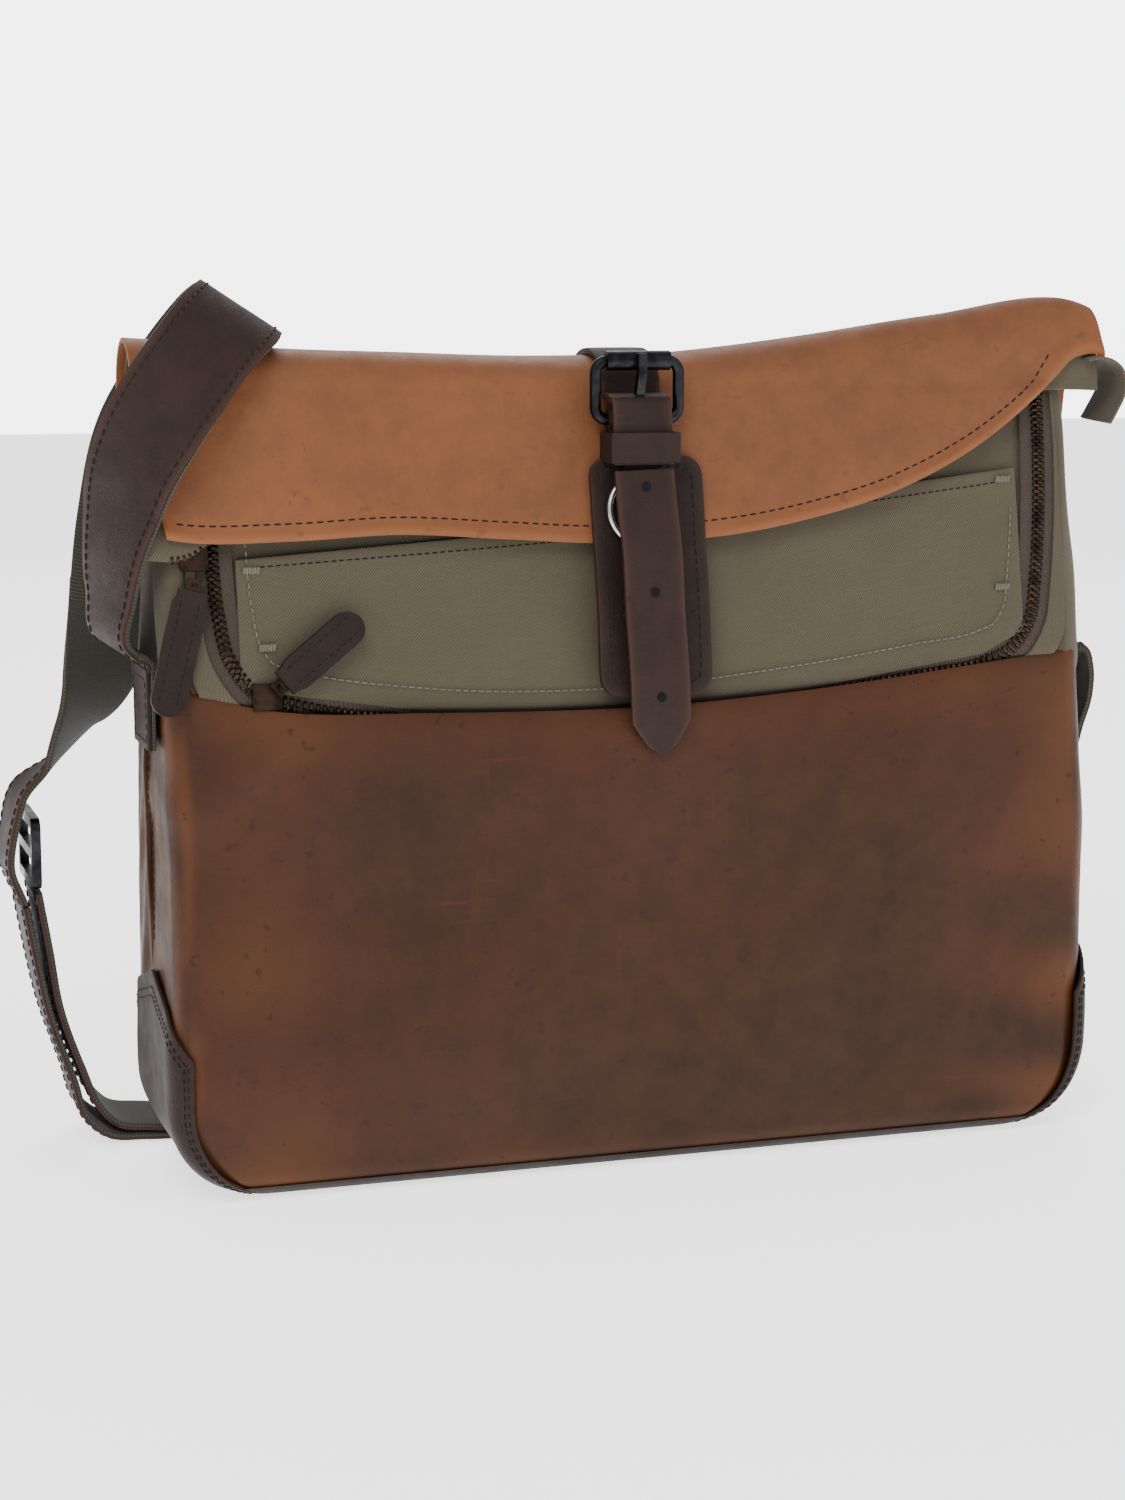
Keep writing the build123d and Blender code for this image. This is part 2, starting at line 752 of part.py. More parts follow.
tail_hinge_z = front_end_z - tail_gap / 2
ring_loop_face = ring_lean_start - loop_radius
tail_middle_z = patch_bottom + 33.0
tail_low_z = patch_bottom + 6.0
with BuildPart() as closure_strap_tail:
    with BuildSketch(Plane.YZ.offset(closure_x - closure_width / 2)):
        with BuildLine():
            FilletPolyline(
                (tail_start_y - 0.3, front_end_z - tail_gap),
                (ring_loop_face - 2.2, ring_low_z),
                (patch_face(tail_middle_z) - 6.0, tail_middle_z),
                (patch_face(tail_low_z) - 4.0, tail_low_z),
                (patch_face(tail_low_z) - 3.0, tail_tip_z),
                radius=30,
            )
        trace(line_width=closure_thickness)
    extrude(amount=closure_width)
    with BuildSketch(Plane.XZ):
        with BuildLine():
            Polyline(
                (closure_x - closure_width / 2, mouth_height),
                (closure_x - closure_width / 2, tail_tip_z + tail_point),
                (closure_x, tail_tip_z + 0.5),
                (closure_x + closure_width / 2, tail_tip_z + tail_point),
                (closure_x + closure_width / 2, mouth_height),
                close=True,
            )
        make_face()
        with Locations(*[(closure_x, mouth_height - drop) for drop in hole_drops]):
            Circle(hole_radius, mode=Mode.SUBTRACT)
    extrude(amount=reach, mode=Mode.INTERSECT)
finish(closure_strap_tail, "closure_strap_tail")

with BuildPart() as strap_keeper:
    inner_back = web_y(keeper_top) + buckle_strap_thickness + 0.8
    inner_front = tail_start_y - closure_thickness / 2 - 0.5
    with BuildSketch(Plane.XY.offset(keeper_low)):
        with Locations((closure_x, (inner_back + inner_front) / 2)):
            Rectangle(
                closure_width + 1.2 + 2 * keeper_thickness,
                inner_back - inner_front + 2 * keeper_thickness,
            )
            Rectangle(closure_width + 1.2, inner_back - inner_front, mode=Mode.SUBTRACT)
    extrude(amount=keeper_height)
finish(strap_keeper, "strap_keeper")

with BuildPart() as closure_strap_fold:
    add_fold(flap_leather + clearance, closure_thickness, closure_width, closure_x)
finish(closure_strap_fold, "closure_strap_fold")

anchor_bottom = mouth_height - 86.0
with BuildPart() as closure_strap_anchor:
    add_back_band(
        -hem_outset - clearance - closure_thickness,
        closure_thickness,
        anchor_bottom,
        mouth_height - 0.2,
        closure_x - closure_width / 2,
        closure_x + closure_width / 2,
    )
finish(closure_strap_anchor, "closure_strap_anchor")

# ---------------------------------------------------------------- shoulder strap


def add_strap(stations):
    """Add a flat strap through stations: each is a centre and the direction across the strap."""
    sections = []
    for index, (centre, across) in enumerate(stations):
        before = Vector(*stations[max(index - 1, 0)][0])
        after = Vector(*stations[min(index + 1, len(stations) - 1)][0])
        tangent = (after - before).normalized()
        side = Vector(*across)
        side = (side - tangent * side.dot(tangent)).normalized()
        with BuildSketch(Plane(origin=centre, x_dir=side, z_dir=tangent)) as section:
            Rectangle(strap_width, strap_thickness)
        sections.append(section.sketch)
    loft(sections, ruled=True)


left = -half_width
side_tab_thickness = 3.6
tab_high = mouth_height - 110.0
tab_low = tab_high - 31.0
tab_y = -6.0

with BuildPart() as side_tab_left:
    keep_z = (tab_low + tab_high) / 2
    with Locations((left - side_tab_thickness / 2, tab_y, keep_z)):
        Box(side_tab_thickness, strap_width - 4, tab_high - tab_low)
finish(side_tab_left, "side_tab_left")

over_top = [
    ((left - 2.0, tab_y, tab_high + 0.5), (0, -1, 0)),
    ((left - 2.3, tab_y, tab_high + 3.5), (0, -1, 0)),
    ((left - 8, tab_y, tab_high + 6.5), (0, -1, 0)),
    ((left - 15, tab_y - 2, tab_high + 12.0), (0.15, -1, 0)),
    ((left - 19, tab_y - 6, tab_high + 30.0), (0.35, -0.94, 0)),
    ((left - 21, tab_y - 16, tab_high + 58.0), (0.55, -0.83, 0)),
    ((left - 18, tab_y - 28, tab_high + 82.0), (0.80, -0.56, -0.15)),
    ((left - 8, tab_y - 36, tab_high + 104.0), (0.86, -0.22, -0.42)),
    ((left + 10, tab_y - 34, tab_high + 124.0), (0.80, 0, -0.60)),
    ((left + 26, tab_y - 22, tab_high + 142.0), (0.78, 0, -0.62)),
    ((left + 38, tab_y - 2, tab_high + 151.0), (0.78, 0, -0.62)),
    ((left + 34, strap_back_y - 54, tab_high + 143.0), (0.78, 0, -0.62)),
    ((left + 22, strap_back_y - 39, tab_high + 122.0), (0.82, 0, -0.57)),
    ((left + 8, strap_back_y - 28, tab_high + 92.0), (0.90, 0, -0.43)),
    ((left, strap_back_y - 20, tab_high + 55.0), (0.98, 0, -0.20)),
    ((left - 4, strap_back_y - 16, tab_high + 20.0), (1, 0.05, 0)),
]
with BuildPart() as shoulder_strap_over:
    add_strap(over_top)
finish(shoulder_strap_over, "shoulder_strap_over")

slide_x = left - 40.0
slide_z = tab_high - 84.0
down_to_slide = [
    ((left - 4.2, strap_back_y - 15.8, tab_high + 18.0), (1, 0.05, 0)),
    ((left - 7, strap_back_y - 15, tab_high + 2.0), (0.97, 0.25, 0)),
    ((left - 12, strap_back_y - 14, tab_high - 14.0), (0.85, 0.53, 0)),
    ((left - 20, strap_back_y - 13, tab_high - 30.0), (0.60, 0.80, 0)),
    ((left - 29, strap_back_y - 7, tab_high - 46.0), (0.28, 0.96, 0)),
    ((slide_x - 4, strap_back_y - 4, tab_high - 60.0), (0, 1, 0)),
    ((slide_x - 9, strap_back_y - 2, slide_z + 6.0), (0, 1, 0)),
    ((slide_x - 10, strap_back_y - 1, slide_z - 6.0), (0, 1, 0)),
    ((slide_x - 5, strap_back_y, slide_z - 21.0), (0, 1, 0)),
]
with BuildPart() as shoulder_strap_back:
    add_strap(down_to_slide)
finish(shoulder_strap_back, "shoulder_strap_back")

with BuildPart() as strap_slide:
    with BuildSketch(Plane.YZ.offset(slide_x - slide_wire / 2)):
        with Locations((strap_back_y, slide_z)):
            RectangleRounded(slide_length, slide_height, 5)
            for side in (-1, 1):
                with Locations((0, side * (slide_height - slide_wire) / 4)):
                    Rectangle(
                        slide_length - 2 * slide_wire,
                        (slide_height - 3 * slide_wire) / 2,
                        mode=Mode.SUBTRACT,
                    )
    extrude(amount=slide_wire)
finish(strap_slide, "strap_slide")

floor_z = clearance + strap_thickness / 2
second_z = floor_z + strap_thickness + strap_gap
ring_x = half_width / 2
run_left = left - 16.0
bend_z = slide_z - 66.0


def add_flat_strap(points, radius):
    """Add a strap whose route lies in an XZ plane, across the whole strap width along Y."""
    with BuildSketch(Plane.XZ.offset(-strap_back_y - strap_width / 2)) as section:
        with BuildLine():
            FilletPolyline(*points, radius=radius)
        trace(line_width=strap_thickness)
    extrude(section.sketch, amount=strap_width)


outer_start = (slide_x - 4.2, slide_z - 23.0)
with BuildPart() as shoulder_strap_outer:
    add_flat_strap(
        [outer_start, (slide_x + 4, bend_z), (run_left, floor_z), (ring_x, floor_z)],
        24,
    )
finish(shoulder_strap_outer, "shoulder_strap_outer")

offset_in = strap_thickness + strap_gap
with BuildPart() as shoulder_strap_inner:
    add_flat_strap(
        [
            (slide_x + 1.0, slide_z - slide_height / 2 - 2.0),
            (slide_x + 4 + offset_in + 0.6, bend_z),
            (run_left + 5.4, second_z),
            (ring_x, second_z),
        ],
        19,
    )
finish(shoulder_strap_inner, "shoulder_strap_inner")

# The doubled strap turns round one bar of a ring behind the bag, the single strap round the other
bar_room = slide_wire * 0.71 + clearance / 2
bar_turn = bar_room + strap_thickness
ring_z = clearance + bar_turn
left_bar_x = ring_x + 14.0
right_bar_x = left_bar_x + 2 * bar_turn + 2.0


def add_bar_turn(bar_x, side, run):
    """Add a strap's turn round a bar along Y: side is +1 where the strap comes from the left."""
    with BuildSketch(Plane.XZ.offset(-strap_back_y - strap_width / 2)) as section:
        with Locations((bar_x, ring_z)):
            Circle(bar_turn)
        with BuildLine():
            Line((bar_x, floor_z), (bar_x - side * run, floor_z))
        trace(line_width=strap_thickness)
        with BuildLine():
            Line((bar_x, ring_z + bar_room + strap_thickness / 2), (bar_x - side * run, second_z))
        trace(line_width=strap_thickness)
        with Locations((bar_x, ring_z)):
            Circle(bar_room, mode=Mode.SUBTRACT)
    extrude(section.sketch, amount=strap_width)


turn_run = left_bar_x - ring_x - 1.2
with BuildPart() as strap_turn_left:
    add_bar_turn(left_bar_x, 1, turn_run)
finish(strap_turn_left, "strap_turn_left")

with BuildPart() as strap_turn_right:
    add_bar_turn(right_bar_x, -1, turn_run)
finish(strap_turn_right, "strap_turn_right")

with BuildPart() as strap_ring:
    with BuildSketch(Plane.XY.offset(ring_z - slide_wire / 2)):
        with Locations(((left_bar_x + right_bar_x) / 2, strap_back_y)):
            RectangleRounded(right_bar_x - left_bar_x + slide_wire, strap_width + 2 + 2 * slide_wire, 3)
            Rectangle(
                right_bar_x - left_bar_x - slide_wire,
                strap_width + 2,
                mode=Mode.SUBTRACT,
            )
    extrude(amount=slide_wire)
finish(strap_ring, "strap_ring")

right = half_width
end_y = 5.0
rise = [
    ((right_bar_x + turn_run + clearance, strap_back_y, floor_z), (0, 1, 0)),
    ((right - 22, strap_back_y, floor_z), (0, 1, 0)),
    ((right - 10, strap_back_y, floor_z + 3.0), (0, 1, 0)),
    ((right - 1, strap_back_y, floor_z + 12.0), (0, 1, 0)),
    ((right + 4, strap_back_y - 2, 34), (0, 1, 0.1)),
    ((right + 6, strap_back_y - 8, 60), (0, 1, 0.3)),
    ((right + 6, strap_back_y - 24, tab_high - 120), (0, 1, 0.45)),
    ((right + 6, strap_back_y - 42, tab_high - 88), (0, 1, 0.4)),
    ((right + 7, end_y + 7, tab_high - 62), (0, 1, 0.2)),
    ((right + 10, end_y + 2, tab_high - 42), (0, 1, 0)),
    ((right + 13.5, end_y, tab_high - 26), (0, 1, 0)),
    ((right + 13.5, end_y, tab_high - 15), (0, 1, 0)),
    ((right + 10.5, end_y, tab_high - 7), (0, 1, 0)),
    ((right + 6.5, end_y, tab_high - 5.5), (0, 1, 0)),
    ((right + 3.0, end_y, tab_high - 9), (0, 1, 0)),
    ((right + 2.2, end_y, tab_high - 16), (0, 1, 0)),
    ((right + 2.2, end_y, tab_high - 35), (0, 1, 0)),
]
with BuildPart() as shoulder_strap_right:
    add_strap(rise)
finish(shoulder_strap_right, "shoulder_strap_right")
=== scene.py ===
"""Messenger bag of leather and canvas: its looks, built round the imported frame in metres."""

import logging
import math
from dataclasses import dataclass
from enum import Enum
from typing import Callable, Optional, Sequence

import bpy
import numpy as np
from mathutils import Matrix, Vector


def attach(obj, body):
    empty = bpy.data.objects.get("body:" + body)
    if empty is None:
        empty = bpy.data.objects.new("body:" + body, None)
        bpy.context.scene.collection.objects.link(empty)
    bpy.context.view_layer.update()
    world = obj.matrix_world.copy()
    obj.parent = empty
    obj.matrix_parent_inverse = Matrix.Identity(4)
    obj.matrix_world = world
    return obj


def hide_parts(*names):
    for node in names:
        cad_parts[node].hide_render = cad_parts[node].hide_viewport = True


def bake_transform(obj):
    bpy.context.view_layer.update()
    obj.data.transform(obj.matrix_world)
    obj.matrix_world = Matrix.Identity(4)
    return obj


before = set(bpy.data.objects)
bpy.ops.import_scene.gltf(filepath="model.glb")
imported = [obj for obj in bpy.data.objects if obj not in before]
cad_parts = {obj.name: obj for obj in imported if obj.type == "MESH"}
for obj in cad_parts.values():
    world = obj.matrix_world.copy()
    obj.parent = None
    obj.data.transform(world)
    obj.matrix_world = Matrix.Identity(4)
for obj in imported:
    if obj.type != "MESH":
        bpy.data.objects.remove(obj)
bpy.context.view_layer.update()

logging.basicConfig(level=logging.INFO, format="%(message)s")
LOG = logging.getLogger("bag")

MM = 0.001
Array = np.ndarray
Socket = bpy.types.NodeSocket


# ---------------------------------------------------------------- numbers and curves


def smooth_step(low: float, high: float, value: Array) -> Array:
    """Ramp from 0 to 1 between two values, t^2 (3 - 2 t).

    Args:
        low: Where the ramp is 0.
        high: Where the ramp is 1.
        value: Where it is read.

    Returns:
        The ramp at each value.
    """
    t = np.clip((np.asarray(value, float) - low) / (high - low), 0.0, 1.0)
    return t * t * (3.0 - 2.0 * t)


def curve(x: Array, knots: Sequence[tuple[float, float]]) -> Array:
    """Cubic Hermite curve through knots, with the slopes of their neighbours.

    Args:
        x: Where the curve is read.
        knots: (x, value) pairs in rising x.

    Returns:
        The curve at each x; flat outside the knots.
    """
    kx, ky = np.array(knots, float).T
    slope = np.gradient(ky, kx)
    x = np.clip(np.asarray(x, float), kx[0], kx[-1])
    i = np.clip(np.searchsorted(kx, x) - 1, 0, len(kx) - 2)
    h = kx[i + 1] - kx[i]
    t = (x - kx[i]) / h
    start = (2 * t**3 - 3 * t**2 + 1) * ky[i] + (t**3 - 2 * t**2 + t) * h * slope[i]
    end = (-2 * t**3 + 3 * t**2) * ky[i + 1] + (t**3 - t**2) * h * slope[i + 1]
    return start + end


def relief(u: Array, v: Array, seed: int, length: float, count: int = 7) -> Array:
    """Soft unevenness of cloth: the mean of sin(2 pi (u cos a + v sin a) / L + p) over random a, L and p.

    Args:
        u: First coordinate over the sheet, in millimetres.
        v: Second coordinate.
        seed: Picks the pattern.
        length: The mean wave length.
        count: How many waves.

    Returns:
        Heights from about -1 to 1.
    """
    rng = np.random.default_rng(seed)
    total = np.zeros(np.broadcast(u, v).shape)
    for angle, scale, phase in zip(
        rng.uniform(0, math.pi, count), rng.uniform(0.6, 1.5, count), rng.uniform(0, 2 * math.pi, count)
    ):
        along = u * math.cos(angle) + v * math.sin(angle)
        total = total + np.sin(2 * math.pi * along / (length * scale) + phase)
    return total / math.sqrt(count)


def crease(u: Array, v: Array, start: tuple[float, float], end: tuple[float, float], width: float) -> Array:
    """One soft fold: exp(-(d / width)^2) with d the distance from the segment between two points.

    Args:
        u: First coordinate over the sheet.
        v: Second coordinate.
        start: First end of the fold.
        end: Its other end.
        width: Its half width.

    Returns:
        The fold's height from 0 to 1.
    """
    a, b = np.array(start, float), np.array(end, float)
    d = b - a
    t = np.clip(((u - a[0]) * d[0] + (v - a[1]) * d[1]) / (d @ d), 0, 1)
    gap = np.hypot(u - a[0] - t * d[0], v - a[1] - t * d[1])
    return np.exp(-((gap / width) ** 2)) * np.sin(math.pi * np.clip(t, 0.02, 0.98)) ** 0.5


def unit(v: Array) -> Array:
    """Vectors at length one.

    Args:
        v: Vectors in the last axis.

    Returns:
        The same directions at unit length.
    """
    return v / np.maximum(np.linalg.norm(v, axis=-1, keepdims=True), 1e-9)


def stack(x: Array, y: Array, z: Array) -> Array:
    """Points from three coordinate arrays.

    Args:
        x: X of each point.
        y: Y of each point.
        z: Z of each point.

    Returns:
        An array with the coordinates in its last axis.
    """
    return np.stack(np.broadcast_arrays(x, y, z), axis=-1)


# ---------------------------------------------------------------- the bag's form


@dataclass(frozen=True)
class BagForm:
    """Outer form of the standing bag, in millimetres."""

    half_width: float = 200.0
    half_base: float = 46.0
    half_mouth: float = 14.0
    mouth: float = 322.0
    front_bulge: float = 12.0
    back_bulge: float = 6.0
    corner: float = 38.0
    rim: float = 12.0

    def _wall(self, z: Array, bulge: float) -> Array:
        """Distance of a wall from the middle plane: y = cy + sqrt(R^2 - (z - cz)^2).

        Args:
            z: Heights.
            bulge: How far the wall's arc stands out from its chord.

        Returns:
            The distance at each height.
        """
        lean = self.half_base - self.half_mouth
        chord = math.hypot(lean, self.mouth)
        radius = (chord**2 / 4 + bulge**2) / (2 * bulge)
        back_off = radius - bulge
        centre_y = (self.half_base + self.half_mouth) / 2 - back_off * self.mouth / chord
        centre_z = self.mouth / 2 - back_off * lean / chord
        return centre_y + np.sqrt(radius**2 - (np.asarray(z, float) - centre_z) ** 2)

    def front(self, z: Array) -> Array:
        """Y of the front wall at each height."""
        return -self._wall(z, self.front_bulge)

    def back(self, z: Array) -> Array:
        """Y of the back wall at each height."""
        return self._wall(z, self.back_bulge)

    def reach(self, z: Array) -> Array:
        """Half width of the bag at each height, with its round lower corners."""
        drop = np.clip(self.corner - np.asarray(z, float), 0, self.corner)
        return self.half_width - self.corner + np.sqrt(self.corner**2 - drop**2)

    def seam(self, z: Array, y: float) -> Array:
        """Share of the side's depth at which a given Y lies, at each height."""
        front, back = self.front(z), self.back(z)
        return (y - front - self.rim) / (back - front - 2 * self.rim)

    def ring(self, c: Array, z: Array, out: Array = 0.0) -> Array:
        """Point on the wall: c is 0 at the front middle, 1 to 2 round the corner, 2 to 3 along the side,
        3 to 4 round the back corner and 5 at the back middle; negative on the left, and it wraps at 10.

        Args:
            c: Place round the bag.
            z: Height.
            out: Distance outward from the form.

        Returns:
            The points.
        """
        c, z, out = np.broadcast_arrays(np.asarray(c, float), np.asarray(z, float), np.asarray(out, float))
        wrapped = (c + 5.0) % 10.0 - 5.0
        side = np.where(wrapped < 0, -1.0, 1.0)
        a = np.abs(wrapped)
        drop = np.clip(self.rim - z, 0, self.rim)
        tuck = self.rim - np.sqrt(self.rim**2 - drop**2)
        front, back, half = self.front(z) + tuck, self.back(z) - tuck, self.reach(z)
        r = np.minimum(self.rim, (back - front) / 2 - 0.5)
        part = [np.clip(a - k, 0, 1) for k in range(5)]
        turn, end = part[1] * math.pi / 2, part[3] * math.pi / 2
        x = (half - r) * (part[0] - part[4]) + r * (np.sin(turn) - 1 + np.cos(end))
        y = front + r * (1 - np.cos(turn)) + (back - front - 2 * r) * part[2] + r * np.sin(end)
        facing = turn + end
        return stack(side * (x + out * np.sin(facing)), y - out * np.cos(facing), z)

    def at_front(self, x: Array, z: Array, out: Array = 0.0) -> Array:
        """Point of the front wall at a given X and height."""
        return self.ring(np.asarray(x, float) / (self.half_width - self.rim), z, out)


FORM = BagForm()
FLAT_FRONT = FORM.half_width - FORM.rim

POCKET_EDGE = [
    (-3, 207), (-2, 209), (-1, 205), (-0.88, 199), (-0.5, 194.5),
    (-0.08, 193), (0.35, 196.5), (0.85, 205.5), (1, 208), (2, 210), (3, 207),
]
FLAP_TOP = [
    (-212, 342), (-150, 339), (-104, 336), (-24, 334), (6, 334), (77, 342), (140, 350), (198, 357),
    (214, 355),
]
FLAP_EDGE = [
    (-212, 266), (-197, 264), (-150, 263.5), (-104, 265), (-60, 262), (-22, 259.5), (26, 260.5),
    (70, 267), (111, 278), (158, 301), (187, 323), (199, 333), (206, 334), (214, 322),
]
ROLL_EDGE = [(-206, 257), (-186, 258), (-172, 270), (0, 272), (100, 288), (158, 311), (190, 329), (206, 338)]
PANEL_HEM = [(-172, 256), (0, 268), (172, 286)]


@dataclass(frozen=True)
class Surface:
    """A surface as a function of two coordinates, in millimetres."""

    shape: Callable[[Array, Array], Array]

    def normal(self, u: Array, v: Array, step: tuple[float, float] = (1e-3, 1e-3)) -> Array:
        """Unit normals, du x dv by central differences.

        Args:
            u: First coordinate.
            v: Second coordinate.
            step: Half steps of the differences.

        Returns:
            The normals.
        """
        u, v = np.broadcast_arrays(np.asarray(u, float), np.asarray(v, float))
        du = self.shape(u + step[0], v) - self.shape(u - step[0], v)
        dv = self.shape(u, v + step[1]) - self.shape(u, v - step[1])
        return unit(np.cross(du, dv))

    def point(self, u: Array, v: Array, lift: float = 0.0) -> Array:
        """Points of the surface, lifted along its normal.

        Args:
            u: First coordinate.
            v: Second coordinate.
            lift: Distance along the normal.

        Returns:
            The points.
        """
        u, v = np.broadcast_arrays(np.asarray(u, float), np.asarray(v, float))
        base = self.shape(u, v)
        return base if lift == 0.0 else base + lift * self.normal(u, v)


# ---------------------------------------------------------------- finishes


class Slot(Enum):
    """The record's material slots."""

    BROWN_LEATHER = "brown_leather"
    TAN_LEATHER = "tan_leather"
    DARK_LEATHER = "dark_leather"
    STRAP_LEATHER = "strap_leather"
    CANVAS = "canvas"
    LINING_CLOTH = "lining_cloth"
    BOARD = "board"
    ZIP_TAPE = "zip_tape"
    ZIP_METAL = "zip_metal"
    BLACK_METAL = "black_metal"
    NICKEL = "nickel"


class Wiring:
    """Adds and joins shader nodes in one tree."""

    def __init__(self, tree: bpy.types.NodeTree) -> None:
        """Keep the tree.

        Args:
            tree: The node tree to add to.
        """
        self.tree = tree

    def add(self, kind: str, inputs: Optional[dict] = None, **settings: object) -> bpy.types.Node:
        """Add a node.

        Args:
            kind: The node's type.
            inputs: Values or sockets by input name or number.
            settings: The node's own properties.

        Returns:
            The node.
        """
        node = self.tree.nodes.new(kind)
        for name, value in settings.items():
            setattr(node, name, value)
        for name, value in (inputs or {}).items():
            if isinstance(value, bpy.types.NodeSocket):
                self.tree.links.new(value, node.inputs[name])
            else:
                node.inputs[name].default_value = value
        return node

    def noise(
        self, vector: Socket, scale: float, detail: float = 3.0, rough: float = 0.5, warp: float = 0.0
    ) -> Socket:
        """Noise from 0 to 1.

        Args:
            vector: Where it is read.
            scale: Its scale per metre.
            detail: Its octaves.
            rough: How much the fine octaves weigh.
            warp: Its distortion.

        Returns:
            The socket of its value.
        """
        node = self.add(
            "ShaderNodeTexNoise",
            {"Vector": vector, "Scale": scale, "Detail": detail, "Roughness": rough, "Distortion": warp},
        )
        return node.outputs["Fac"]

    def ramp(
        self, value: Socket, low: float, high: float, to_low: float = 0.0, to_high: float = 1.0
    ) -> Socket:
        """A value taken from one range to another, held at its ends.

        Args:
            value: The incoming value.
            low: Where the incoming range starts.
            high: Where it ends.
            to_low: The result at low.
            to_high: The result at high.

        Returns:
            The socket of the result.
        """
        node = self.add(
            "ShaderNodeMapRange",
            {"Value": value, "From Min": low, "From Max": high, "To Min": to_low, "To Max": to_high},
            interpolation_type="SMOOTHSTEP",
        )
        return node.outputs["Result"]

    def math(self, how: str, a: Socket | float, b: Socket | float = 0.0) -> Socket:
        """One sum on two values."""
        return self.add("ShaderNodeMath", {0: a, 1: b}, operation=how).outputs[0]

    def mix(self, share: Socket | float, a: Socket | Sequence[float], b: Socket | Sequence[float]) -> Socket:
        """Two colours mixed.

        Args:
            share: How much of the second colour.
            a: The first colour.
            b: The second colour.

        Returns:
            The socket of the mixed colour.
        """
        node = self.add("ShaderNodeMix", data_type="RGBA")
        for socket, value in ((0, share), (6, a), (7, b)):
            if isinstance(value, bpy.types.NodeSocket):
                self.tree.links.new(value, node.inputs[socket])
            else:
                node.inputs[socket].default_value = value
        return node.outputs[2]


def new_group(name: str, outputs: Sequence[str]) -> tuple[Wiring, bpy.types.ShaderNodeTree, Socket]:
    """A node group that takes a place and gives float masks.

    Args:
        name: The group's name.
        outputs: Names of its outputs.

    Returns:
        The wiring of its tree, the tree and the socket of the incoming place.
    """
    tree = bpy.data.node_groups.new(name, "ShaderNodeTree")
    tree.interface.new_socket("Place", in_out="INPUT", socket_type="NodeSocketVector")
    for output in outputs:
        tree.interface.new_socket(output, in_out="OUTPUT", socket_type="NodeSocketFloat")
    wires = Wiring(tree)
    source = wires.add("NodeGroupInput")
    return wires, tree, source.outputs["Place"]


def hide_group() -> bpy.types.ShaderNodeTree:
    """Group shared by every leather: clouds, specks, scratches and the grain's height."""
    wires, tree, place = new_group("hide_marks", ("Cloud", "Speck", "Scratch", "Grain"))
    broad = wires.ramp(wires.noise(place, 8.0, 4.0, 0.5), 0.3, 0.72)
    mottle = wires.ramp(wires.noise(place, 75.0, 6.0, 0.68), 0.34, 0.66)
    cloud = wires.math("ADD", wires.math("MULTIPLY", broad, 0.55), wires.math("MULTIPLY", mottle, 0.45))
    speck = wires.ramp(wires.noise(place, 190.0, 2.0, 0.5), 0.66, 0.71)
    long_way = wires.add(
        "ShaderNodeMapping", {"Vector": place, "Rotation": (0.2, 0.3, 0.5), "Scale": (9, 9, 160)},
    )
    short_way = wires.add(
        "ShaderNodeMapping", {"Vector": place, "Rotation": (0.1, 0.9, 0.2), "Scale": (190, 9, 9)},
    )
    scratch_a = wires.ramp(wires.noise(long_way.outputs[0], 1.6, 3.0, 0.5, 0.4), 0.63, 0.70)
    scratch_b = wires.ramp(wires.noise(short_way.outputs[0], 1.3, 3.0, 0.5, 0.3), 0.64, 0.71)
    patchy = wires.ramp(wires.noise(place, 22.0, 2.0), 0.52, 0.68, 0.0, 0.45)
    scratch = wires.math("MULTIPLY", wires.math("MAXIMUM", scratch_a, scratch_b), patchy)
    cells = wires.add("ShaderNodeTexVoronoi", {"Vector": place, "Scale": 850.0}, feature="SMOOTH_F1")
    grain = wires.math(
        "ADD", wires.math("MULTIPLY", cells.outputs["Distance"], 0.5), wires.noise(place, 1500.0, 3.0),
    )
    wires.add("NodeGroupOutput", {"Cloud": cloud, "Speck": speck, "Scratch": scratch, "Grain": grain})
    return tree


def weave_group() -> bpy.types.ShaderNodeTree:
    """Group shared by every cloth: the threads' height and their unevenness."""
    wires, tree, place = new_group("weave", ("Thread", "Slub", "Cloud"))
    fine = wires.add("ShaderNodeMapping", {"Vector": place, "Rotation": (0, 0, 0.62)})
    twill = wires.add(
        "ShaderNodeTexWave",
        {"Vector": fine.outputs[0], "Scale": 360.0, "Distortion": 1.5, "Detail": 2.0, "Detail Scale": 4.0},
    )
    cross = wires.add(
        "ShaderNodeTexWave", {"Vector": place, "Scale": 420.0, "Distortion": 0.8}, bands_direction="Y",
    )
    thread = wires.math(
        "MULTIPLY", twill.outputs["Fac"], wires.ramp(cross.outputs["Fac"], 0.0, 1.0, 0.55, 1.0),
    )
    stretched = wires.add("ShaderNodeMapping", {"Vector": place, "Scale": (60, 1100, 60)})
    slub = wires.noise(stretched.outputs[0], 1.0, 3.0, 0.6)
    cloud = wires.noise(place, 26.0, 4.0, 0.6)
    wires.add("NodeGroupOutput", {"Thread": thread, "Slub": slub, "Cloud": cloud})
    return tree


GROUPS: dict[str, bpy.types.ShaderNodeTree] = {}


def shared(name: str, make: Callable[[], bpy.types.ShaderNodeTree]) -> bpy.types.ShaderNodeTree:
    """A node group, made at its first use.

    Args:
        name: Its key.
        make: What makes it.

    Returns:
        The group's tree.
    """
    if name not in GROUPS:
        GROUPS[name] = make()
    return GROUPS[name]


Colour = tuple[float, float, float]


def rgba(colour: Colour) -> tuple[float, float, float, float]:
    """A colour in eighth-bit display values as linear light with alpha."""
    return tuple(((c / 255 + 0.055) / 1.055) ** 2.4 if c > 10 else c / 255 / 12.92 for c in colour) + (1.0,)


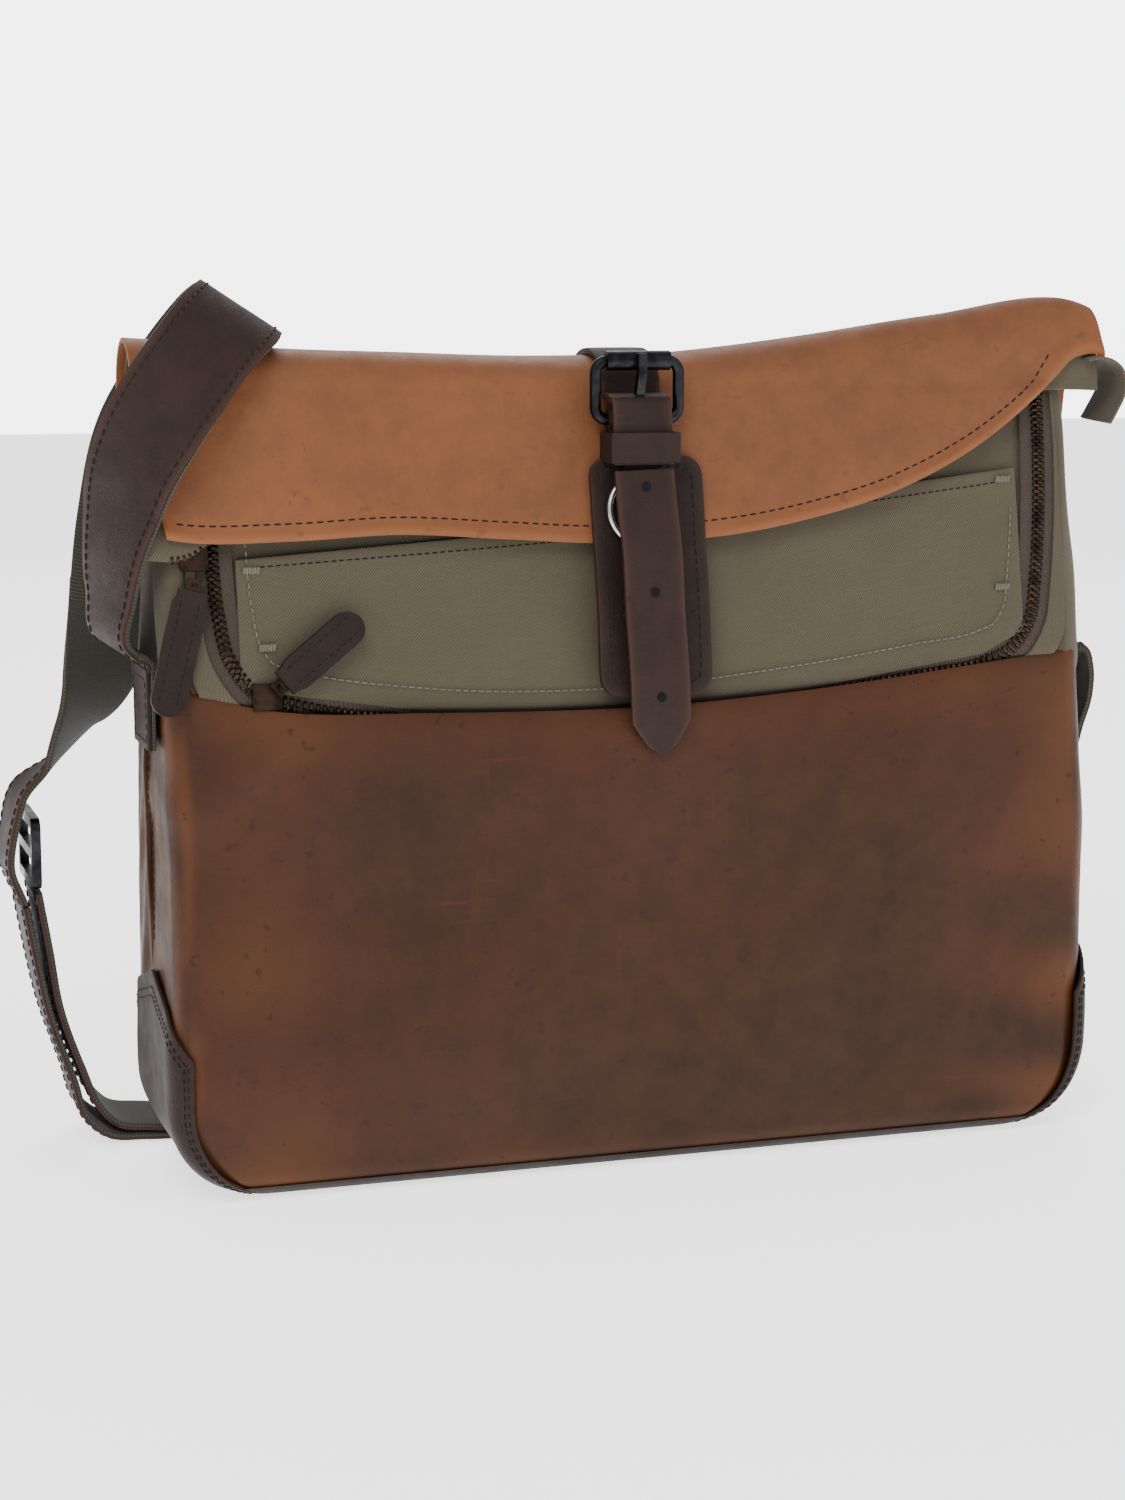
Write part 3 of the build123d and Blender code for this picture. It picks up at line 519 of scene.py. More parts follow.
def start_material(name: str) -> tuple[bpy.types.Material, Wiring, bpy.types.Node]:
    """An empty material with a principled shader.

    Args:
        name: The material's name.

    Returns:
        The material, its wiring and the shader node.
    """
    material = bpy.data.materials.new(name)
    material.use_nodes = True
    material.node_tree.nodes.clear()
    wires = Wiring(material.node_tree)
    shader = wires.add("ShaderNodeBsdfPrincipled")
    wires.add("ShaderNodeOutputMaterial", {"Surface": shader.outputs[0]})
    return material, wires, shader


@dataclass(frozen=True)
class Leather:
    """Waxed leather that is darker in clouds and lighter where it bends."""

    name: str
    light: Colour
    deep: Colour
    worn: Colour
    scuff: float = 0.5
    rough: float = 0.52
    pores: float = 0.12

    def build(self) -> bpy.types.Material:
        """Make the material."""
        material, wires, shader = start_material(self.name)
        place = wires.add("ShaderNodeTexCoord").outputs["Object"]
        marks = wires.add("ShaderNodeGroup", node_tree=shared("hide", hide_group))
        wires.tree.links.new(place, marks.inputs["Place"])
        wear = wires.add("ShaderNodeAttribute", attribute_name="wear").outputs["Fac"]
        body = wires.mix(marks.outputs["Cloud"], rgba(self.light), rgba(self.deep))
        body = wires.mix(wear, body, rgba(self.worn))
        scratched = wires.mix(
            wires.math("MULTIPLY", marks.outputs["Scratch"], self.scuff), body, rgba(self.worn),
        )
        colour = wires.mix(wires.math("MULTIPLY", marks.outputs["Speck"], 0.7), scratched, rgba(self.deep))
        roughness = wires.ramp(marks.outputs["Cloud"], 0.0, 1.0, self.rough - 0.06, self.rough + 0.08)
        bump = wires.add(
            "ShaderNodeBump", {"Strength": self.pores, "Distance": 0.0006, "Height": marks.outputs["Grain"]}
        )
        for socket, value in (("Base Color", colour), ("Roughness", roughness), ("Normal", bump.outputs[0])):
            wires.tree.links.new(value, shader.inputs[socket])
        shader.inputs["Specular IOR Level"].default_value = 0.18
        return material


@dataclass(frozen=True)
class Cloth:
    """Woven cloth."""

    name: str
    light: Colour
    deep: Colour
    relief: float = 0.35

    def build(self) -> bpy.types.Material:
        """Make the material."""
        material, wires, shader = start_material(self.name)
        place = wires.add("ShaderNodeUVMap", uv_map="UVMap").outputs["UV"]
        weave = wires.add("ShaderNodeGroup", node_tree=shared("weave", weave_group))
        wires.tree.links.new(place, weave.inputs["Place"])
        shade = wires.math("MULTIPLY", weave.outputs["Thread"], 0.55)
        shade = wires.math("ADD", shade, wires.math("MULTIPLY", weave.outputs["Slub"], 0.35))
        shade = wires.math("ADD", shade, wires.math("MULTIPLY", weave.outputs["Cloud"], 0.25))
        colour = wires.mix(wires.ramp(shade, 0.2, 0.95), rgba(self.deep), rgba(self.light))
        roughness = wires.ramp(weave.outputs["Slub"], 0.3, 0.7, 0.82, 0.95)
        bump = wires.add(
            "ShaderNodeBump", {"Strength": self.relief, "Distance": 0.0005, "Height": weave.outputs["Thread"]}
        )
        for socket, value in (("Base Color", colour), ("Roughness", roughness), ("Normal", bump.outputs[0])):
            wires.tree.links.new(value, shader.inputs[socket])
        shader.inputs["Specular IOR Level"].default_value = 0.15
        shader.inputs["Sheen Weight"].default_value = 0.12
        return material


@dataclass(frozen=True)
class Metal:
    """Cast or drawn metal with a slightly uneven face."""

    name: str
    bright: Colour
    dull: Colour
    rough: float = 0.35
    metallic: float = 1.0

    def build(self) -> bpy.types.Material:
        """Make the material."""
        material, wires, shader = start_material(self.name)
        place = wires.add("ShaderNodeTexCoord").outputs["Object"]
        patches = wires.noise(place, 120.0, 4.0, 0.6)
        colour = wires.mix(wires.ramp(patches, 0.35, 0.7), rgba(self.bright), rgba(self.dull))
        roughness = wires.ramp(patches, 0.3, 0.7, self.rough - 0.06, self.rough + 0.1)
        bump = wires.add(
            "ShaderNodeBump", {
                "Strength": 0.08, "Distance": 0.0003, "Height": wires.noise(place, 1800.0, 2.0),
            }
        )
        for socket, value in (("Base Color", colour), ("Roughness", roughness), ("Normal", bump.outputs[0])):
            wires.tree.links.new(value, shader.inputs[socket])
        shader.inputs["Metallic"].default_value = self.metallic
        return material


class Finishes:
    """Every material of the bag, by name."""

    def __init__(self) -> None:
        """Build the materials."""
        recipes = (
            Leather("brown_leather", (56, 28, 10), (40, 20, 9), (76, 42, 18), 0.6, 0.5, 0.3),
            Leather("tan_leather", (114, 70, 42), (95, 57, 37), (122, 73, 40), 0.35, 0.5, 0.22),
            Leather("dark_leather", (33, 19, 15), (22, 13, 10), (46, 29, 23), 0.7, 0.58, 0.5),
            Leather("strap_leather", (40, 23, 18), (29, 17, 13), (60, 38, 30), 0.6, 0.58, 0.45),
                Cloth("canvas", (84, 77, 62), (63, 57, 46), 0.25),
            Cloth("strap_lining", (64, 64, 55), (38, 38, 33)),
            Cloth("lining_cloth", (96, 92, 82), (70, 66, 58)),
            Cloth("zip_tape", (74, 64, 55), (48, 40, 35), 0.6),
            Cloth("board", (60, 52, 46), (42, 36, 32)),
            Cloth("dark_thread", (22, 13, 10), (13, 8, 7), 0.1),
            # near-black finish of the tail's hole discs: painted shade standing in for the dark inside of the
            # holes
            Cloth("painted_hole_shade", (8, 5, 4), (5, 3, 3), 0.1),
            Cloth("light_thread", (112, 109, 96), (84, 81, 70), 0.1),
            Metal("zip_metal", (62, 48, 38), (30, 24, 20), 0.38),
            Metal("black_metal", (46, 46, 48), (26, 26, 28), 0.34),
            Metal("nickel", (206, 204, 198), (170, 168, 162), 0.22),
        )
        self.materials = {recipe.name: recipe.build() for recipe in recipes}
        LOG.info("finishes: %d materials", len(self.materials))

    def __getitem__(self, name: str) -> bpy.types.Material:
        """The material of that name."""
        return self.materials[name]


# ---------------------------------------------------------------- meshes


@dataclass
class Workshop:
    """Makes mesh objects and gives them their finish and body."""

    finishes: Finishes

    def finish(self, obj: bpy.types.Object, material: str, slot: Optional[Slot], body: Optional[str]) -> None:
        """Give an object its material and body.

        Args:
            obj: The object.
            material: The material's name.
            slot: The record's slot; not used.
            body: The body it rides on, or None for a piece left unattached.
        """
        obj.data.materials.clear()
        obj.data.materials.append(self.finishes[material])
        if body is not None:
            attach(obj, body)
        LOG.info("%s: %d faces", obj.name, len(obj.data.polygons))

    def mesh(self, name: str, points: Array, faces: Array, uv: Optional[Array] = None) -> bpy.types.Object:
        """A smooth mesh object.

        Args:
            name: The object's name.
            points: Vertices in millimetres.
            faces: Vertex numbers, one row per face.
            uv: Two coordinates per vertex in metres.

        Returns:
            The object.
        """
        data = bpy.data.meshes.new(name)
        data.from_pydata((np.asarray(points) * MM).tolist(), [], np.asarray(faces).tolist())
        data.polygons.foreach_set("use_smooth", np.ones(len(data.polygons), bool))
        layer = data.uv_layers.new(name="UVMap")
        loops = np.zeros(len(data.loops), np.int32)
        data.loops.foreach_get("vertex_index", loops)
        source = np.asarray(points)[:, :2] * MM if uv is None else uv
        layer.data.foreach_set("uv", source[loops].astype(np.float32).ravel())
        data.update()
        obj = bpy.data.objects.new(name, data)
        bpy.context.scene.collection.objects.link(obj)
        return obj

    def grid(
        self,
        name: str,
        points: Array,
        material: str,
        slot: Slot,
        body: Optional[str],
        thickness: float = 0.0,
        wear: Optional[Array] = None,
        closed: bool = False,
        edge: float = 0.35,
    ) -> bpy.types.Object:
        """A sheet from a grid of points, thickened away from its outer face.

        Args:
            name: The object's name.
            points: Rows by columns by three, in millimetres; columns x rows faces outward.
            material: The material's name.
            slot: The record's slot.
            body: The body it rides on.
            thickness: The sheet's thickness in millimetres.
            wear: Shade from 0 to 1 for each point.
            closed: Whether the last column joins the first.
            edge: Radius of the sheet's edges.

        Returns:
            The object.
        """
        rows, cols = points.shape[:2]
        index = np.arange(rows * cols).reshape(rows, cols)
        right = np.roll(index, -1, axis=1) if closed else index[:, 1:]
        here = index if closed else index[:, :-1]
        faces = np.stack([here[:-1], right[:-1], right[1:], here[1:]], axis=-1).reshape(-1, 4)
        along_u = np.zeros((rows, cols))
        along_v = np.zeros((rows, cols))
        along_u[:, 1:] = np.cumsum(np.linalg.norm(np.diff(points, axis=1), axis=-1), axis=1)
        along_v[1:] = np.cumsum(np.linalg.norm(np.diff(points, axis=0), axis=-1), axis=0)
        middle = along_u[:, cols // 2][:, None]
        uv = np.stack([along_u - middle, along_v], axis=-1).reshape(-1, 2) * MM
        obj = self.mesh(name, points.reshape(-1, 3), faces, uv)
        shade = np.zeros(rows * cols) if wear is None else np.broadcast_to(wear, (rows, cols)).ravel()
        attribute = obj.data.attributes.new("wear", "FLOAT", "POINT")
        attribute.data.foreach_set("value", shade.astype(np.float32))
        if thickness > 0:
            solid = obj.modifiers.new("thickness", "SOLIDIFY")
            solid.thickness = thickness * MM
            solid.offset = -1.0
            solid.use_even_offset = True
            bevel = obj.modifiers.new("edges", "BEVEL")
            bevel.width = edge * MM
            bevel.segments = 2
            bevel.limit_method = "ANGLE"
            bevel.angle_limit = math.radians(50)
        self.finish(obj, material, slot, body)
        return obj

    def repeat(
        self,
        name: str,
        shape: tuple[Array, Array],
        centres: Array,
        along: Array,
        facing: Array,
        material: str,
        slot: Slot,
        body: Optional[str],
    ) -> bpy.types.Object:
        """Copies of one small shape as a single mesh.

        Args:
            name: The object's name.
            shape: The shape's points and faces: X along, Z outward.
            centres: Where each copy goes.
            along: Its direction.
            facing: Its outward direction.
            material: The material's name.
            slot: The record's slot.
            body: The body it rides on.

        Returns:
            The object.
        """
        template, faces = shape
        x = unit(along)
        z = unit(facing - (facing * x).sum(-1, keepdims=True) * x)
        y = np.cross(z, x)
        points = (
            centres[:, None]
            + template[None, :, 0:1] * x[:, None]
            + template[None, :, 1:2] * y[:, None]
            + template[None, :, 2:3] * z[:, None]
        )
        offset = (np.arange(len(centres)) * len(template))[:, None, None]
        obj = self.mesh(name, points.reshape(-1, 3), (faces[None] + offset).reshape(-1, faces.shape[1]))
        self.finish(obj, material, slot, body)
        return obj

    def stitches(
        self,
        name: str,
        path: Array,
        facing: Array,
        body: Optional[str],
        pitch: float = 4.0,
        material: str = "dark_thread",
        slot: Slot = Slot.DARK_LEATHER,
        size: float = 0.42,
    ) -> bpy.types.Object:
        """A row of stitches along a path.

        Args:
            name: The object's name.
            path: Points along the row, in millimetres.
            facing: Outward directions at the points.
            body: The body it rides on.
            pitch: Distance from stitch to stitch.
            material: The thread's material.
            slot: The record's slot.
            size: The thread's radius.

        Returns:
            The object.
        """
        centres, along, out = walk(path, facing, pitch)
        return self.repeat(name, bead(pitch * 0.36, size), centres, along, out, material, slot, body)


def walk(path: Array, facing: Array, pitch: float, phase: float = 0.5) -> tuple[Array, Array, Array]:
    """Evenly spaced places along a path.

    Args:
        path: Points of the path.
        facing: Outward directions at the points.
        pitch: Wanted spacing.
        phase: Share of the spacing before the first place.

    Returns:
        Places, directions and outward directions.
    """
    gaps = np.linalg.norm(np.diff(path, axis=0), axis=1)
    length = np.concatenate([[0.0], np.cumsum(gaps)])
    count = max(2, int(length[-1] / pitch))
    at = (np.arange(count) + phase) * length[-1] / count

    def read(values: Array, where: Array) -> Array:
        """Values at lengths along the path."""
        return np.stack([np.interp(where, length, values[:, k]) for k in range(3)], axis=-1)

    step = 0.3
    ahead = read(path, np.clip(at + step, 0, length[-1]))
    behind = read(path, np.clip(at - step, 0, length[-1]))
    return read(path, at), unit(ahead - behind), unit(read(facing, at))


def bead(half: float, radius: float) -> tuple[Array, Array]:
    """A six-sided spindle for a stitch: rings at -h, -h/2, h/2 and h.

    Args:
        half: Half its length.
        radius: Its radius.

    Returns:
        Its points and faces.
    """
    stations = np.array([-half, -half * 0.6, half * 0.6, half])
    swell = np.array([0.35, 1.0, 1.0, 0.35]) * radius
    angle = np.arange(6) * math.pi / 3
    points = np.stack(
        [
            np.repeat(stations, 6),
            (swell[:, None] * np.cos(angle)).ravel(),
            (swell[:, None] * np.sin(angle)).ravel(),
        ],
        axis=-1,
    )
    base = np.arange(6)
    after = (base + 1) % 6
    rings = [
        np.stack([base + 6 * k, after + 6 * k, after + 6 * k + 6, base + 6 * k + 6], axis=-1)
        for k in range(3)
    ]
    caps = np.array([[3, 2, 1, 0], [5, 4, 3, 0], [18, 19, 20, 21], [18, 21, 22, 23]])
    return points, np.concatenate(rings + [caps])


def tooth(width: float, length: float, height: float) -> tuple[Array, Array]:
    """A zipper tooth: a block that narrows towards its tip.

    Args:
        width: Its extent along the chain.
        length: Its extent across the chain.
        height: Its height.

    Returns:
        Its points and faces.
    """
    w, t = width / 2, width * 0.34
    points = np.array(
        [
            (-w, 0, 0), (w, 0, 0), (w, length * 0.65, 0), (t, length, 0), (-t, length, 0), (
                -w, length * 0.65, 0,
            ),
            (-w, 0, height * 0.8), (w, 0, height * 0.8), (
                w * 0.9, length * 0.65, height,
            ), (t, length, height * 0.8),
            (-t, length, height * 0.8), (-w * 0.9, length * 0.65, height),
        ]
    )
    faces = np.array(
        [
            (0, 5, 2, 1), (5, 4, 3, 2), (6, 7, 8, 11), (11, 8, 9, 10), (0, 1, 7, 6),
            (1, 2, 8, 7), (2, 3, 9, 8), (3, 4, 10, 9), (4, 5, 11, 10), (5, 0, 6, 11),
        ]
    )
    return points, faces


# ---------------------------------------------------------------- walls


def mesh_axes(u: Array, v: Array) -> tuple[Array, Array]:
    """Grid of two coordinates with v down the rows and u across the columns."""
    return np.meshgrid(u, v)


@dataclass
class Walls:
    """Leather lower half, canvas upper half and gusset of the bag."""

    shop: Workshop

    @staticmethod
    def pocket_edge(u: Array) -> Array:
        """Height of the front leather's top edge at a place round the front half."""
        return curve(u, POCKET_EDGE)

    @staticmethod
    def front_leather(u: Array, v: Array) -> Array:
        """Front leather: the form plus a belly, soft waves, slack corners and a lip at the top edge.

        Args:
            u: Place round the front half, from -3 to 3.
            v: 0 at the base to 1 at the top edge.

        Returns:
            The points.
        """
        top = Walls.pocket_edge(u)
        z = 3.0 + (top - 3.0) * np.clip(v, 0, 2) ** 1.6
        lim = FORM.seam(np.clip(z, 0, 300), 8.0)
        c = np.where(np.abs(u) <= 2, u, np.sign(u) * (2 + (np.abs(u) - 2) * lim))
        x = np.clip(c, -1, 1) * FLAT_FRONT
        middle = np.cos(np.clip(x / FLAT_FRONT, -1, 1) * math.pi / 2) ** 0.7
        belly = 3.2 * middle * smooth_step(8, 60, z) * smooth_step(230, 120, z)
        mouth = 6.5 * middle * smooth_step(110, 192, z)
        lip = -1.2 * smooth_step(top - 5, top + 1, z)
        soft = 1.1 * relief(x, z, 3, 150) + 0.12 * relief(x + c * 30, z, 5, 42)
        slack = 1.8 * crease(
            x, z, (-196, 150), (-150, 190), 9,
        ) + 1.3 * crease(x, z, (196, 120), (160, 190), 10)
        side = np.where(np.abs(c) > 1.2, -1.5 * np.sin(np.clip((np.abs(c) - 1.2) / 1.8, 0, 1) * math.pi), 0.0)
        out = belly + mouth + lip + (soft + slack) * smooth_step(4, 40, z) + side * smooth_step(30, 90, z)
        under_base = 1.6 * smooth_step(0.95, 1.2, np.abs(c)) * smooth_step(80, 55, z)
        return FORM.ring(c, z, np.maximum(out, -1.4 + 0.2 * out) - under_base)

    @staticmethod
    def back_leather(u: Array, v: Array) -> Array:
        """Back leather: the form plus soft waves.

        Args:
            u: 2 at the right seam through 5 at the back middle to 8 at the left seam.
            v: 0 at the base to 1 at the top edge.

        Returns:
            The points.
        """
        z = 3.0 + (207.0 - 3.0) * np.clip(v, 0, 2) ** 1.6
        lim = FORM.seam(np.clip(z, 0, 300), 8.0)
        c = np.where(u < 3, 2 + lim + (u - 2) * (1 - lim), np.where(u > 7, 8 - lim - (8 - u) * (1 - lim), u))
        x = (5 - c) * FLAT_FRONT
        soft = 1.0 * relief(x, z, 11, 160) + 0.3 * relief(x, z, 12, 50)
        over_canvas = 1.3 * smooth_step(184, 200, z)
        return FORM.ring(c, z, soft * smooth_step(40, 90, z) + 0.1 + over_canvas)

    @staticmethod
    def canvas(c: Array, z: Array) -> Array:
        """Canvas body: the form plus soft waves, with two pleats in each side.

        Args:
            c: Place round the whole bag.
            z: Height.

        Returns:
            The points.
        """
        wrapped = (c + 5) % 10 - 5
        at_front = smooth_step(1.15, 0.95, np.abs(wrapped))
        at_side = smooth_step(1.3, 1.9, np.abs(wrapped)) * smooth_step(3.7, 3.1, np.abs(wrapped))
        arc = c * 60.0
        soft = 0.7 * relief(arc, z, 21, 70) * (1 - 0.6 * at_front) - 1.0 * at_front
        pleats = -3.0 * at_side * crease(arc, z, (132, 200), (150, 300), 12)
        pleats = pleats - 3.0 * at_side * crease(-arc, z, (132, 205), (148, 310), 12)
        body = soft + pleats - 3.0 * at_side * smooth_step(225, 300, z)
        return FORM.ring(c, z, body - 3.4 + 3.0 * smooth_step(190, 206, z))

    @staticmethod
    def wear(u: Array, v: Array, top: float = 1.0) -> Array:
        """How light the leather is from bending: corners, the top edge and the base line."""
        corner = np.exp(-(((np.abs(u) - 1.35) / 0.45) ** 2))
        edge = smooth_step(top - 0.10, top, v)
        foot = smooth_step(0.10, 0.0, v)
        patch = 0.5 + 0.5 * relief(u * 90, v * 200, 8, 60)
        border = 0.55 * smooth_step(0.55, 1.0, np.abs(u)) * patch + 0.35 * smooth_step(0.35, 0.0, v) * patch
        return np.clip(0.4 * corner * patch + 0.3 * edge + 0.4 * foot * patch + border, 0, 1)

    @staticmethod
    def _around(middle: float, half: float, count: int) -> Array:
        """Columns of a wall: a side, a corner, the flat face, a corner and a side.

        Args:
            middle: Place round the bag of the face's middle.
            half: The face's half width, in the same measure.
            count: Columns on the face.

        Returns:
            The columns' places round the bag.
        """
        start, end = middle - half, middle + half
        return np.concatenate(
            [
                np.linspace(start - 2, start - 1, 18)[:-1],
                np.linspace(start - 1, start, 12)[:-1],
                np.linspace(start, end, count),
                np.linspace(end, end + 1, 12)[1:],
                np.linspace(end + 1, end + 2, 18)[1:],
            ]
        )

    def build(self) -> None:
        """Make the walls."""
        shop = self.shop
        u = self._around(0, 1, 150)
        v = np.linspace(0, 1, 105)
        uu, vv = mesh_axes(u, v)
        front = shop.grid(
            "front_leather", self.front_leather(uu, vv), "brown_leather", Slot.BROWN_LEATHER, "root", 2.0,
            self.wear(uu, vv),
        )
        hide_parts("front_leather_panel")
        w = self._around(5, 1, 140)
        ww, vv = mesh_axes(w, v)
        back = shop.grid(
            "back_leather", self.back_leather(ww, vv), "brown_leather", Slot.BROWN_LEATHER, "root", 2.0,
            self.wear(5 - np.abs(ww - 5), vv) * 0.8,
        )
        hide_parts("back_leather_panel")
        c = np.linspace(-5, 5, 421)[:-1]
        z = np.linspace(176, 322, 84)
        cc, zz = mesh_axes(c, z)
        body = shop.grid(
            "canvas_body_cloth", self.canvas(cc, zz), "canvas", Slot.CANVAS, "root", 1.3, closed=True,
        )
        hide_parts("canvas_body")
        self._lining()
        self._gusset()
        self._seams()

    def _lining(self) -> None:
        """Make the lining inside the walls."""
        cc, zz = mesh_axes(np.linspace(-5, 5, 241)[:-1], np.linspace(6, 320.5, 80))
        lining = self.shop.grid(
            "lining_bag", FORM.ring(cc, zz, -6.2 + 0.4 * relief(cc * 60, zz, 35, 80)), "lining_cloth",
            Slot.LINING_CLOTH, "root", 0.5, closed=True, edge=0.1,
        )
        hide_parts("lining")

    @staticmethod
    def gusset_side(u: Array, v: Array) -> Array:
        """Gusset on the right side: u from 0 at its front seam to 1 at its back seam, v up."""
        c = 1.216 + (3.784 - 1.216) * u
        top = 60 + 25 * (1 - np.abs(2 * u - 1)) + 3 * np.sin(u * math.pi)
        z = 0.4 + (top - 0.4) * v**1.5
        dent = 0.6 * relief(u * 90, z, 31, 50)
        return FORM.ring(c, z, 1.6 + dent * smooth_step(0, 20, z))

    @staticmethod
    def base(c: Array, v: Array) -> Array:
        """Base: v from 0 in the middle of the base through 1 at its rim to 2 at the strip's top."""
        level = np.clip(v - 1, 0, 1)
        rim = FORM.ring(c, 0.3 + level * 5.2, 0.9 * np.clip(v, 0, 1))
        share = np.clip(v, 0, 1)
        x, y = rim[..., 0] * share, rim[..., 1] * share + 1.5 * (1 - share)
        return stack(x, y, rim[..., 2])

    def _gusset(self) -> None:
        """Make the base and the two gusset sides."""
        shop = self.shop
        c = np.linspace(-5, 5, 361)[:-1]
        v = np.concatenate([np.linspace(0.02, 1, 14), np.linspace(1, 2, 9)[1:]])
        cc, vv = mesh_axes(c, v)
        base = shop.grid(
            "base_leather", self.base(cc, vv), "dark_leather", Slot.DARK_LEATHER, "root", 0.0, closed=True,
        )
        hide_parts("base_gusset")
        u, v = np.linspace(0, 1, 60), np.linspace(0, 1, 34)
        uu, vv = mesh_axes(u, v)
        rim = np.minimum(np.minimum(uu, 1 - uu) * 8, (1 - vv) * 6)
        for name, mirror in (("gusset_right", False), ("gusset_left", True)):
            points = self.gusset_side(uu, vv)
            if mirror:
                points = points[:, ::-1] * np.array([-1.0, 1.0, 1.0])
            side = shop.grid(
                name, points, "dark_leather", Slot.DARK_LEATHER, "root", 1.6,
                0.5 * np.clip(1 - rim, 0, 1),
            )
            surface = Surface(self.gusset_side)
            sign = np.array([-1.0, 1.0, 1.0]) if mirror else np.ones(3)
            for row, inset in enumerate((0.045, 0.075)):
                line = np.linspace(0.08, 0.99 - inset, 80)
                pu = np.concatenate(
                    [np.full(80, inset), np.linspace(inset, 1 - inset, 120), np.full(80, 1 - inset)]
                )
                pv = np.concatenate([line, np.full(120, 0.99 - inset), line[::-1]])
                path = surface.point(pu, pv) * sign
                facing = surface.normal(pu, pv) * sign
                shop.stitches(f"{name}_stitches_{row + 1}", path, facing, "root", 3.6)

    def _seams(self) -> None:
        """Stitch rows on the walls."""
        shop = self.shop
        surface = Surface(self.front_leather)
        for name, at in (("side_seam_right", 2.93), ("side_seam_left", -2.93)):
            v = np.linspace(0.62, 0.985, 90)
            u = np.full_like(v, at)
            shop.stitches(name, surface.point(u, v), surface.normal(u, v), "root", 3.8)
        rear = Surface(self.back_leather)
        u = np.linspace(2.1, 7.9, 400)
        v = np.full_like(u, 0.985)
        shop.stitches("back_edge_stitches", rear.point(u, v), rear.normal(u, v), "root", 3.8)


# ---------------------------------------------------------------- access panel and its zipper


